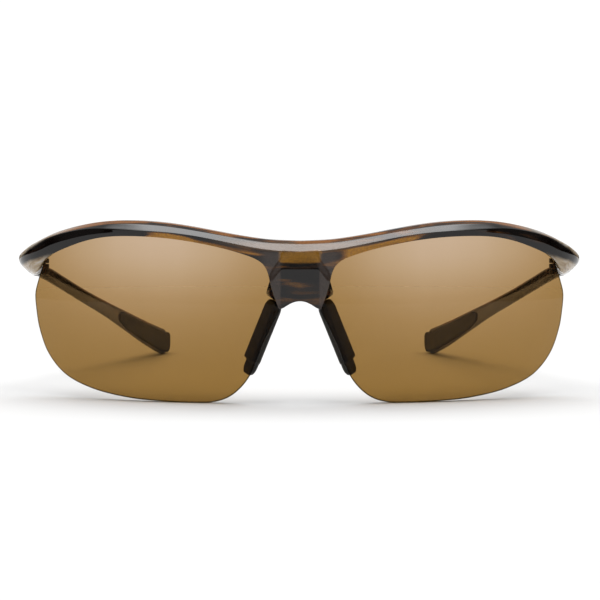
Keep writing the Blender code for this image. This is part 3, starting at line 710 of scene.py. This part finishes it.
def tip_pad_solid(side, grow):
    """Soft pad along the inner face of the temple that wraps round its end."""
    wrap = TEMPLE_SECTIONS[-1][0] + TIP_PAD_GAP
    start = TIP_PAD_START - grow
    body = [start + (wrap - 0.3 - start) * k / TIP_PAD_STATIONS for k in range(TIP_PAD_STATIONS + 1)]
    end = [wrap + (TIP_PAD_END - wrap) * math.sin(math.pi / 2 * k / 10) for k in range(11)]
    rings = []
    for y in body + end:
        inner, outward, thick, bottom, top = temple_frame(min(y, TEMPLE_SECTIONS[-1][0]))
        inner = inner + TIP_PAD_HEADING * (y - inner.y)
        taper = 0.3 + 0.7 * math.sqrt(ease(y, start - 1.5, start + 7))
        at_end = ease(y, wrap - 0.2, wrap)
        dome = math.sqrt(max(0.0, 1 - max(0.0, (y - wrap) / (TIP_PAD_END - wrap)) ** 2))
        round_off = 0.62 + 0.38 * dome
        middle = (bottom + top) / 2 - 0.2
        rise = (top - bottom) * TIP_PAD_HALF_HEIGHT * taper + grow
        low, high = middle - rise, middle + rise
        if at_end:
            low = TIP_END_LOW + (1 - dome) * TIP_END_DOME
            high = (top - 0.9) * (0.84 + 0.16 * dome)
        inside = -TIP_PAD_PROUD * taper * (0.4 + 0.6 * (round_off if at_end else 1.0)) - grow
        outside = (TIP_PAD_LET_IN + grow) * (1 - at_end) + (thick - 0.3) * at_end * round_off
        mid_z = (low + high) / 2
        corners = [(outside, low * 0.85 + mid_z * 0.15), (outside, high * 0.85 + mid_z * 0.15),
                   (inside * 0.3 + outside * 0.7, high), (inside * 0.7, high),
                   (inside, high * 0.75 + mid_z * 0.25), (inside, low * 0.75 + mid_z * 0.25),
                   (inside * 0.7, low), (inside * 0.3 + outside * 0.7, low)]
        rings.append(section_ring(side, inner, outward, rounded(corners, TIP_PAD_CORNER, 3)))
    return loft(rings)


def nose_pad_solid(side):
    """Soft pad with rounded ends, stepped thinner over its lower tip."""
    half = PAD_LENGTH / 2
    step = half - PAD_STEP
    places = [-half + 2.4 * (1 - math.cos(math.pi / 2 * k / 7)) for k in range(8)]
    places += [-half + 2.4 + (step - 0.3 + half - 2.4) * k / 16 for k in range(1, 17)]
    places += [step - 0.1, step + 0.1, step + 0.3]
    places += [step + 0.3 + (half - 2.0 - step - 0.3) * k / 5 for k in range(1, 6)]
    places += [half - 2.0 + 2.0 * math.sin(math.pi / 2 * k / 7) for k in range(1, 8)]
    rings = []
    for s in places:
        fade = min(1.0, (half - abs(s)) / 2.4)
        bulge = math.sqrt(max(0.0, 1 - (1 - fade) ** 2))
        wide = PAD_WIDTH / 2 * (0.5 + 0.5 * bulge)
        thin = PAD_THICKNESS / 2 * (0.55 + 0.45 * bulge)
        stepped = ease(s, step - 0.3, step + 0.3)
        far = -thin * (1 - 0.65 * stepped)
        wide *= 1 - 0.14 * stepped
        ring = [(-wide, far * 0.3), (-wide * 0.8, far), (wide * 0.8, far), (wide, far * 0.3),
                (wide, thin * 0.4), (wide * 0.75, thin), (-wide * 0.75, thin), (-wide, thin * 0.4)]
        rings.append([pad_point(side, s, p.x, p.y) for p in rounded(ring, 0.55, 3)])
    return loft(rings)


# ---------------------------------------------------------------- grain direction

def brow_flow(point):
    """Place of a point of the moulding: along the brow, below its crown, out of its face."""
    x, y, z = point.x / MM, point.y / MM + DEPTH_SHIFT, point.z / MM
    reach = abs(x)
    if reach > LENS_CENTRE_X:
        angle = math.atan2(reach - LENS_CENTRE_X, LENS_CENTRE_Y - y)
        arc = LENS_CENTRE_X + LENS_RADIUS * angle
        reach = LENS_CENTRE_X + LENS_RADIUS * math.sin(min(angle, math.pi / 2))
    else:
        arc = reach
    if arc > ROLL_ARC:
        reach = ROLL_START + (arc - ROLL_ARC) * 0.95
    out = math.hypot(abs(x) - LENS_CENTRE_X, LENS_CENTRE_Y - y) - LENS_RADIUS
    return (math.copysign(arc, x), height_at(CROWN_HEIGHTS, min(reach, ROLL_END)) - z, out)


def temple_flow(point):
    """Place of a point of a temple: along it, below its top, out of its inner face."""
    x, y, z = point.x / MM, point.y / MM + DEPTH_SHIFT, point.z / MM
    inner, _, _, _, top = temple_frame(y)
    return (y - TEMPLE_SECTIONS[0][0], top - z, abs(x) - inner.x)


def store_painted_edge_line(lens, side):
    """Marks the polished edge of a lens, where the material paints a dark line in place of the darkening
    refraction gives the edge.
    """
    outline = lens_outline(0.0)
    tree = KDTree(len(outline))
    for k, point in enumerate(outline):
        tree.insert((side * point.x, 0.0, point.y), k)
    tree.balance()
    layer = lens.data.attributes.new("rim", "FLOAT", "POINT")
    for k, vertex in enumerate(lens.data.vertices):
        near = tree.find((vertex.co.x / MM, 0.0, vertex.co.z / MM))[2]
        layer.data[k].value = 1.0 - ease(near, *LENS_EDGE_LINE)


def store_flow(made, flow):
    """Keeps the flow of every point as an attribute that the material reads."""
    layer = made.data.attributes.new("flow", "FLOAT_VECTOR", "POINT")
    for k, vertex in enumerate(made.data.vertices):
        layer.data[k].vector = flow(vertex.co)


# ---------------------------------------------------------------- materials

class Look:
    """The node tree of a material or a world, with short ways to add nodes."""

    def __init__(self, owner, shader="Principled BSDF"):
        self.owner = owner
        owner.use_nodes = True
        self.tree = owner.node_tree
        self.shader = self.tree.nodes[shader]

    def add(self, kind, **sockets):
        node = self.tree.nodes.new(kind)
        for key, value in sockets.items():
            if key.startswith("_"):
                setattr(node, key[1:], value)
            else:
                self.set(node, key.replace("_", " "), value)
        return node

    def set(self, node, key, value):
        socket = node.inputs[int(key)] if key.isdigit() else node.inputs[key]
        if isinstance(value, bpy.types.NodeSocket):
            self.tree.links.new(value, socket)
        else:
            socket.default_value = value

    def math(self, operation, a, b=0.0):
        node = self.tree.nodes.new("ShaderNodeMath")
        node.operation = operation
        self.set(node, "0", a)
        self.set(node, "1", b)
        return node.outputs[0]

    def product(self, first, *more):
        for value in more:
            first = self.math("MULTIPLY", first, value)
        return first

    def total(self, first, *more):
        for value in more:
            first = self.math("ADD", first, value)
        return first

    def either(self, share, a, b):
        """a where the share is 1 and b where it is 0."""
        return self.total(self.product(share, a), self.product(self.math("SUBTRACT", 1.0, share), b))

    def ramp(self, value, stops):
        node = self.tree.nodes.new("ShaderNodeValToRGB")
        self.tree.links.new(value, node.inputs[0])
        band = node.color_ramp
        while len(band.elements) < len(stops):
            band.elements.new(0.5)
        for element, (place, colour) in zip(band.elements, stops):
            element.position = place
            if isinstance(colour, (int, float)):
                colour = (colour, colour, colour)
            element.color = (*colour, 1.0)
        return node.outputs[0]

    def span(self, value, low, high, start=0.0, end=1.0):
        node = self.tree.nodes.new("ShaderNodeMapRange")
        node.interpolation_type = "SMOOTHSTEP"
        self.tree.links.new(value, node.inputs["Value"])
        for key, number in (("From Min", low), ("From Max", high), ("To Min", start), ("To Max", end)):
            self.set(node, key, number)
        return node.outputs["Result"]

    def window(self, value, rise, fall):
        """1 between a rising and a falling edge, each (from, to), and 0 outside them."""
        return self.product(self.span(value, *rise), self.span(value, *fall, 1.0, 0.0))

    def mix(self, factor, a, b, blend="MIX"):
        node = self.tree.nodes.new("ShaderNodeMix")
        node.data_type = "RGBA"
        node.blend_type = blend
        for socket, value in ((node.inputs[0], factor), (node.inputs[6], a), (node.inputs[7], b)):
            if isinstance(value, bpy.types.NodeSocket):
                self.tree.links.new(value, socket)
            elif isinstance(value, tuple):
                socket.default_value = (*value, 1.0)
            else:
                socket.default_value = value
        return node.outputs[2]

    def noise(self, vector, stretch, detail=4.0, roughness=0.55, distortion=0.0, shift=(0, 0, 0)):
        place = self.add("ShaderNodeMapping", Vector=vector, Scale=stretch, Location=shift)
        node = self.add("ShaderNodeTexNoise", Vector=place.outputs[0], Scale=1.0, Detail=detail,
                        Roughness=roughness, Distortion=distortion)
        return node.outputs[0]

    def bump(self, height, distance, strength=1.0):
        node = self.add("ShaderNodeBump", Height=height, Distance=distance * MM, Strength=strength)
        self.tree.links.new(node.outputs[0], self.shader.inputs["Normal"])

    def millimetres(self):
        place = self.add("ShaderNodeTexCoord").outputs["Object"]
        return self.add("ShaderNodeVectorMath", _operation="SCALE", **{"0": place, "3": 1 / MM}).outputs[0]


# Nylon, from its darkest patches to its lightest.
BLACK_BROWN = (0.0045, 0.0028, 0.0022)
DARK_BROWN = (0.028, 0.012, 0.0045)
AMBER = (0.20, 0.075, 0.010)
GOLD = (0.44, 0.19, 0.012)
TORTOISE = [(0.46, BLACK_BROWN), (0.525, DARK_BROWN), (0.575, AMBER), (0.66, GOLD)]
# Top edge of the mouldings (amber streaks with painted rim light), ears beside the bridge (painted grey
# reflection), gold block over it, bevel (painted warm sheen), temples.
RIM_LIGHT_AMBER = (0.25, 0.085, 0.008)
EAR_REFLECTION_GREY = (0.085, 0.062, 0.052)
BLOCK_GOLD = (0.22, 0.105, 0.012)
BEVEL_SHEEN_WARM = (0.17, 0.09, 0.04)
TEMPLE_BROWN = (0.055, 0.044, 0.028)
NYLON_IOR = 1.42
# How light the pattern is along the brow and the temple, over shares of these lengths.
BROW_SPAN = 90.0
TEMPLE_SPAN = 110.0
BROW_BIAS = [(0.0, 0.48), (0.06, 0.49), (0.12, 0.51), (0.24, 0.555), (0.36, 0.53), (0.48, 0.42),
             (0.72, 0.38), (1.0, 0.46)]
TEMPLE_BIAS = [(0.0, 0.49), (0.1, 0.47), (0.3, 0.46), (0.6, 0.45), (1.0, 0.44)]
# Extra gold in the brow: from and to along it, then from and to below its crown.
GOLD_ZONES = [(9.0, 31.0, 2.3, 5.5), (-42.0, -24.0, 2.1, 5.5)]
BLOCK_EXTRA = 0.27
ZONE_EXTRA = 0.16
# Clear ends of the brow, painted light in place of the white backdrop seen through them: middle below the
# crown, and room that stays coloured round it.
CLEAR_MIDDLE = 2.8
CLEAR_ROOM = 4.4
CLEAR_SHARES = [(0.64, 0.85), (0.72, 0.5), (0.8, 0.36), (0.88, 0.16), (0.95, 0.0)]
# painted light: the backdrop seen through clear nylon
CLEAR_BACKDROP_TONE = (0.50, 0.45, 0.40)
GLASSY_BACKDROP_TONES = [(0.3, (0.20, 0.12, 0.06)), (0.5, (0.42, 0.33, 0.22)), (0.66, CLEAR_BACKDROP_TONE)]
# What a lens lets through, from its plain tint to its lightest place; the lighter steps are a painted
# reflection, not a tint of the glass.
LENS_TINTS_AND_SHEEN = [(0.0, (0.275, 0.155, 0.041)), (0.25, (0.348, 0.209, 0.079)), (0.5, (0.42, 0.27, 0.132)),
              (0.75, (0.488, 0.338, 0.195)), (1.0, (0.554, 0.404, 0.27))]
# painted shade along the lens edge
LENS_EDGE_SHADE = (0.045, 0.028, 0.006)
LENS_IOR = 1.17
# Painted reflection on a lens: how light it is painted from the middle of the glasses outward, and from the
# floor upward.
LENS_ACROSS = 70.0
LENS_HEIGHT = 45.0
LENS_SHEEN_ACROSS = [(0.0, 0.3), (0.17, 0.55), (0.28, 0.8), (0.42, 1.0), (0.52, 1.0), (0.64, 0.91), (0.76, 0.7),
             (0.9, 0.42)]
LENS_SHEEN_UP = [(0.08, 0.01), (0.22, 0.06), (0.33, 0.13), (0.45, 0.26), (0.53, 0.38), (0.6, 0.51),
             (0.67, 0.66), (0.74, 0.82), (0.8, 0.93), (0.87, 1.0)]


def tortoise(name, temple=False):
    """Glossy nylon with amber streaks that run along the moulding, and clear ends; painted light in it: rim
    light on the top edge, a warm sheen on the bridge bevel, a grey reflection beside the bridge, and the
    backdrop in the clear ends.
    """
    look = Look(bpy.data.materials.new(name))
    flow = look.add("ShaderNodeAttribute", _attribute_name="flow").outputs["Vector"]
    signed, below, out = look.add("ShaderNodeSeparateXYZ", Vector=flow).outputs
    along = look.math("ABSOLUTE", signed)
    patches = look.noise(flow, (0.045, 0.30, 0.12), 1.5, 0.4, 0.9, (3.1, 0.4, 0.0))
    streaks = look.noise(flow, (0.06, 0.85, 0.3), 3.0, 0.55, 0.6, (1.7, 5.0, 2.0))
    share = look.total(look.product(patches, 0.66), look.product(streaks, 0.34))
    if temple:
        bias = look.ramp(look.math("DIVIDE", along, TEMPLE_SPAN), TEMPLE_BIAS)
    else:
        bias = look.ramp(look.math("DIVIDE", along, BROW_SPAN), BROW_BIAS)
        block = look.product(look.span(along, 4.6, 5.6, 1.0, 0.0),
                             look.window(below, (1.9, 2.9), (4.7, 5.6)))
        share = look.total(share, look.product(block, BLOCK_EXTRA))
        for low, high, top, bottom in GOLD_ZONES:
            zone = look.product(look.window(signed, (low, low + 5.0), (high - 5.0, high)),
                                look.window(below, (top, top + 0.7), (bottom, bottom + 1.0)))
            share = look.total(share, look.product(zone, ZONE_EXTRA))
        share = look.math("SUBTRACT", share, look.span(below, 1.6, 2.6, 0.05, 0.0))
    share = look.total(share, look.math("SUBTRACT", bias, 0.5))
    body = look.ramp(share, TORTOISE)
    if temple:
        body = look.mix(0.8, body, TEMPLE_BROWN)
    else:
        body = look.mix(look.product(block, 0.75), body, BLOCK_GOLD)
        face = look.span(out, -1.5, 0.0)
        panel = look.product(look.span(along, 6.5, 8.5, 0.62, 0.0), look.span(below, 6.2, 6.9))
        body = look.mix(panel, body, BLACK_BROWN)
        # painted reflection: grey on the ear facets beside the bridge, in place of their reflection of the
        # grey surroundings
        ear_reflection = look.product(look.window(along, (4.4, 5.0), (7.5, 11.0)),
                             look.span(below, 2.4, 3.2, 0.0, 0.55), face)
        body = look.mix(ear_reflection, body, EAR_REFLECTION_GREY)
        # painted sheen: warm tone on the bevel over the bridge, tinting the softbox reflection there
        bevel_sheen = look.product(look.span(along, 10.0, 24.0, 0.7, 0.0),
                            look.span(below, 2.2, 2.9, 1.0, 0.0), face)
        body = look.mix(bevel_sheen, body, BEVEL_SHEEN_WARM)
    # painted rim light: amber along the top edge of the moulding, where the streaks run
    edge = look.product(look.span(below, 0.45, 0.85, 1.0, 0.0), look.span(streaks, 0.38, 0.52))
    body = look.mix(edge, body, RIM_LIGHT_AMBER)
    grain = look.noise(flow, (3.5, 4.5, 4.5), 2.0, 0.7)
    body = look.mix(1.0, body, look.ramp(grain, [(0.3, 0.5), (0.7, 1.1)]), "MULTIPLY")
    # painted light: clear parts get a light colour in place of the white backdrop seen through them
    if temple:
        clear = look.product(look.span(along, 0.3, 3.0, 1.0, 0.0), look.span(out, 2.5, 3.5))
        wisp = look.noise(flow, (0.3, 0.9, 0.9), 4.0, 0.6, 0.6)
    else:
        rim = look.product(look.span(below, 0.4, 0.9, 0.55, 0.0), look.span(along, 56.0, 68.0))
        core = look.math("ABSOLUTE", look.math("SUBTRACT", below, CLEAR_MIDDLE))
        room = look.product(look.ramp(look.math("DIVIDE", along, BROW_SPAN), CLEAR_SHARES), CLEAR_ROOM)
        clear = look.product(look.span(look.math("SUBTRACT", core, room), -0.3, 0.8),
                             look.span(out, -3.0, -1.0, 0.35, 1.0), look.span(along, 64.0, 72.0))
        clear = look.math("MAXIMUM", rim, clear)
        wisp = look.noise(flow, (0.25, 0.8, 0.6), 4.0, 0.6, 0.6)
    look.set(look.shader, "Base Color", look.mix(clear, body, look.ramp(wisp, GLASSY_BACKDROP_TONES)))
    haze = look.noise(flow, (0.4, 0.9, 0.9), 3.0, 0.6)
    look.set(look.shader, "Roughness", look.span(haze, 0.3, 0.7, 0.05, 0.11))
    look.shader.inputs["IOR"].default_value = NYLON_IOR
    look.bump(look.noise(flow, (0.5, 0.7, 0.7), 2.0, 0.5), 0.02, 0.25)
    return look.owner


def tinted_glass():
    """Brown tinted lens with a painted reflection that makes it lightest high up in its middle, and a
    painted dark line along its polished edge.
    """
    look = Look(bpy.data.materials.new("brown_lens_glass"))
    place = look.millimetres()
    sideways, _, up = look.add("ShaderNodeSeparateXYZ", Vector=place).outputs
    # painted reflection: the tint is lightened across and up the lens in place of a reflection of the
    # studio light
    sheen_across = look.ramp(look.math("DIVIDE", look.math("ABSOLUTE", sideways), LENS_ACROSS), LENS_SHEEN_ACROSS)
    fade = look.ramp(look.math("DIVIDE", up, LENS_HEIGHT), LENS_SHEEN_UP)
    cloud = look.span(look.noise(place, (0.03, 0.03, 0.03), 2.0, 0.5), 0.3, 0.7, -0.012, 0.012)
    tint = look.ramp(look.total(look.product(sheen_across, fade), cloud), LENS_TINTS_AND_SHEEN)
    # painted shade: the edge of the lens is darkened in place of the darkening refraction gives it
    rim = look.add("ShaderNodeAttribute", _attribute_name="rim").outputs["Fac"]
    tint = look.mix(rim, tint, LENS_EDGE_SHADE)
    look.set(look.shader, "Base Color", tint)
    haze = look.noise(place, (0.08, 0.05, 0.08), 4.0, 0.6)
    rough = look.total(look.span(haze, 0.4, 0.8, 0.0, 0.006), look.product(rim, 0.1))
    look.set(look.shader, "Roughness", rough)
    look.shader.inputs["Transmission Weight"].default_value = 1.0
    look.shader.inputs["IOR"].default_value = LENS_IOR
    return look.owner


def rubber(name, colour):
    """Matt soft rubber with a fine grain."""
    look = Look(bpy.data.materials.new(name))
    place = look.millimetres()
    tone = look.noise(place, (0.3, 0.3, 0.3), 3.0, 0.6)
    dark = tuple(c * 0.75 for c in colour)
    light = tuple(c * 1.3 for c in colour)
    look.set(look.shader, "Base Color", look.ramp(tone, [(0.35, dark), (0.65, light)]))
    grain = look.noise(place, (3.0, 3.0, 3.0), 3.0, 0.6)
    look.set(look.shader, "Roughness", look.span(grain, 0.3, 0.7, 0.55, 0.7))
    look.shader.inputs["Specular IOR Level"].default_value = 0.35
    look.bump(grain, 0.004, 0.2)
    return look.owner


def steel(name, colour, low, high):
    """Turned or brushed steel."""
    look = Look(bpy.data.materials.new(name))
    place = look.millimetres()
    lines = look.noise(place, (1.2, 1.2, 22.0), 3.0, 0.6)
    dark = tuple(c * 0.8 for c in colour)
    look.set(look.shader, "Base Color", look.ramp(lines, [(0.3, dark), (0.7, colour)]))
    look.shader.inputs["Metallic"].default_value = 1.0
    look.set(look.shader, "Roughness", look.span(lines, 0.3, 0.7, low, high))
    look.bump(lines, 0.01, 0.4)
    return look.owner


# ---------------------------------------------------------------- pieces

def place_piece(made, node, body):
    """Puts a finished piece on its body in place of its CAD node."""
    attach(made, body)
    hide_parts(node)
    return made


def build_front(look):
    """The moulded front with its grooves, sockets and hinge pockets."""
    front = make_object("moulded_front", front_frame_solid(), look)
    smooth = front.modifiers.new("smooth", "SUBSURF")
    smooth.levels = smooth.render_levels = SMOOTH_LEVELS
    settle(front)
    for side, name in SIDES.items():
        stub = make_object("stub_" + name, nose_stub_solid(side))
        soften(stub, 0.6, 3, 20.0)
        cuts = [
            make_object("groove_" + name, lens_shell(side, LENS_CLEARANCE, GROOVE_EDGE_ROUND)),
            make_object("socket_" + name, core_solid(side, CORE_CLEARANCE)),
            make_object("pocket_" + name, front_tongue(side, POCKET_CLEARANCE)),
            make_object("swing_" + name, barrel(side, BARREL_GAP_LEVELS, BARREL_GAP_RADIUS))]
        combine(front, [stub], "UNION")
        combine(front, cuts, "DIFFERENCE")
        settle(front)
        discard([stub] + cuts)
    store_flow(front, brow_flow)
    return place_piece(front, "front_frame", "front")


def build_hinge(side, looks):
    """Both leaves of one hinge and its slotted screw."""
    name = SIDES[side]
    bore = make_object("bore_" + name, barrel(side, BORE_LEVELS, PIN_HOLE_RADIUS))
    knuckles = [make_object(f"knuckle_{k}_{name}", barrel(side, BARREL_LEVELS[k], BARREL_RADIUS))
                for k in range(3)]
    space = make_object("space_" + name, barrel(side, BARREL_LEVELS[1], BARREL_GAP_RADIUS, 0.25))
    front = make_object("hinge_front_leaf_" + name, front_tongue(side), looks["leaf"])
    combine(front, [knuckles[0], knuckles[2]], "UNION")
    combine(front, [space, bore], "DIFFERENCE")
    temple = make_object("hinge_temple_leaf_" + name, temple_tongue(side), looks["leaf"])
    combine(temple, [knuckles[1]], "UNION")
    combine(temple, [bore], "DIFFERENCE")
    screw = make_object("slotted_screw_" + name, screw_solid(side), looks["screw"])
    slot = make_object("slot_" + name, screw_slot_solid(side))
    combine(screw, [slot], "DIFFERENCE")
    for made in (front, temple):
        soften(made, METAL_ROUND)
    for made in (front, temple, screw):
        settle(made)
    discard([bore, space, slot] + knuckles)
    place_piece(front, "front_hinge_leaf_" + name, "front")
    place_piece(temple, "temple_hinge_leaf_" + name, name + "_temple")
    place_piece(screw, "hinge_screw_" + name, "front")


def build_side(side, looks):
    """Lens, nose pad, temple and tip pad of one side."""
    name = SIDES[side]
    lens = settle(make_object("tinted_lens_" + name, lens_shell(side, 0.0, LENS_EDGE_ROUND), looks["lens"]))
    store_painted_edge_line(lens, side)
    place_piece(lens, "lens_" + name, "front")

    pad = make_object("soft_nose_pad_" + name, nose_pad_solid(side), looks["pad"])
    socket = make_object("pad_socket_" + name, core_solid(side, CORE_CLEARANCE))
    combine(pad, [socket], "DIFFERENCE")
    settle(pad)
    place_piece(pad, "nose_pad_" + name, name + "_nose_pad")

    temple = make_object("moulded_temple_" + name, temple_solid(side), looks["temple"])
    cuts = [
        make_object("recess_" + name, tip_pad_solid(side, TIP_PAD_GAP * 0.8)),
        make_object("temple_pocket_" + name, temple_tongue(side, POCKET_CLEARANCE)),
        make_object("knuckle_space_" + name, barrel(side, BARREL_GAP_LEVELS, BARREL_GAP_RADIUS))]
    combine(temple, cuts, "DIFFERENCE")
    settle(temple)
    store_flow(temple, temple_flow)
    place_piece(temple, "temple_" + name, name + "_temple")

    tip = settle(make_object("soft_tip_" + name, tip_pad_solid(side, 0.0), looks["tip"]), 40.0)
    place_piece(tip, "temple_tip_pad_" + name, name + "_temple")
    discard(cuts + [socket])

    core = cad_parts["nose_pad_core_" + name]
    for slot in core.material_slots:
        slot.material = looks["screw"]
    build_hinge(side, looks)


# ---------------------------------------------------------------- studio

FLOOR_TONE = 0.7
FLOOR_RADIUS = 450.0
FLOOR_DROP = 0.00002
# Radiance of the surroundings: to the eye, to reflections, and what lights the floor.
WHITE = 1.05
SOFTBOX = 7.5
FILL_KEY = 2.87
FILL_DOME = 0.3
CAMERA_TARGET = Vector((0.0, -0.0734, 0.0256))
CAMERA_SWING = math.radians(0.3)
CAMERA_DISTANCE = 0.7
CAMERA_LIFT = 0.0484
CAMERA_FOCAL = 175.0


def build_world():
    """White for the eye; reflections see a soft light overhead, and a third glow lights the floor."""
    world = bpy.data.worlds.new("studio")
    bpy.context.scene.world = world
    look = Look(world, "Background")
    direction = look.add("ShaderNodeTexCoord").outputs["Generated"]
    sideways, depth, height = look.add("ShaderNodeSeparateXYZ", Vector=direction).outputs
    across = look.math("ABSOLUTE", sideways)
    softbox = look.product(look.span(across, 0.34, 0.50, 1.0, 0.0),
                           look.window(depth, (-0.35, -0.1), (0.15, 0.5)),
                           look.span(height, 0.3, 0.5), SOFTBOX)
    room = look.product(look.span(across, 0.6, 0.9, 0.6, 0.12), look.span(height, -0.02, 0.02))
    shine = look.total(softbox, room)
    key = look.product(look.span(across, 0.35, 0.65, FILL_KEY, 0.0),
                       look.window(depth, (-0.8, -0.4), (0.6, 0.85)), look.span(height, 0.35, 0.6))
    fill = look.total(key, look.span(height, -0.02, 0.05, 0.0, FILL_DOME))
    path = look.add("ShaderNodeLightPath").outputs
    seen = look.product(look.math("MAXIMUM", path["Is Camera Ray"], path["Is Transmission Ray"]),
                        look.math("LESS_THAN", path["Diffuse Depth"], 0.5))
    light = look.either(path["Is Glossy Ray"], shine, fill)
    look.set(look.shader, "Color", (1.0, 1.0, 1.0, 1.0))
    look.set(look.shader, "Strength", look.either(seen, WHITE, light))


def build_floor():
    """Plain pale floor under the glasses."""
    look = Look(bpy.data.materials.new("pale_floor"))
    look.shader.inputs["Base Color"].default_value = (FLOOR_TONE, FLOOR_TONE, FLOOR_TONE, 1.0)
    look.shader.inputs["Roughness"].default_value = 0.9
    look.shader.inputs["Specular IOR Level"].default_value = 0.0
    shape = bmesh.new()
    bmesh.ops.create_circle(shape, cap_ends=True, segments=96, radius=FLOOR_RADIUS)
    floor = make_object("studio_floor", shape, look.owner)
    floor.location.z = -FLOOR_DROP


def build_camera():
    """Camera a little above the brow, nearly straight in front."""
    offset = Vector((-math.sin(CAMERA_SWING) * CAMERA_DISTANCE, -math.cos(CAMERA_SWING) * CAMERA_DISTANCE,
                     CAMERA_LIFT))
    data = bpy.data.cameras.new("camera")
    data.lens = CAMERA_FOCAL
    data.sensor_width = 36.0
    data.clip_start = 0.01
    data.clip_end = 20.0
    camera = bpy.data.objects.new("camera", data)
    camera.location = CAMERA_TARGET + offset
    camera.rotation_euler = (-offset).to_track_quat("-Z", "Y").to_euler()
    bpy.context.collection.objects.link(camera)
    bpy.context.scene.camera = camera


looks = {
    "front": tortoise("tortoise_front"),
    "temple": tortoise("tortoise_temple", temple=True),
    "lens": tinted_glass(),
    "pad": rubber("nose_pad_rubber", (0.017, 0.014, 0.010)),
    "tip": rubber("tip_rubber", (0.056, 0.049, 0.034)),
    "leaf": steel("brushed_leaf_steel", (0.12, 0.105, 0.085), 0.3, 0.45),
    "screw": steel("turned_screw_steel", (0.22, 0.20, 0.17), 0.22, 0.36),
}
build_front(looks["front"])
for side in SIDES:
    build_side(side, looks)
build_world()
build_floor()
build_camera()
bpy.context.scene.view_settings.view_transform = "Standard"
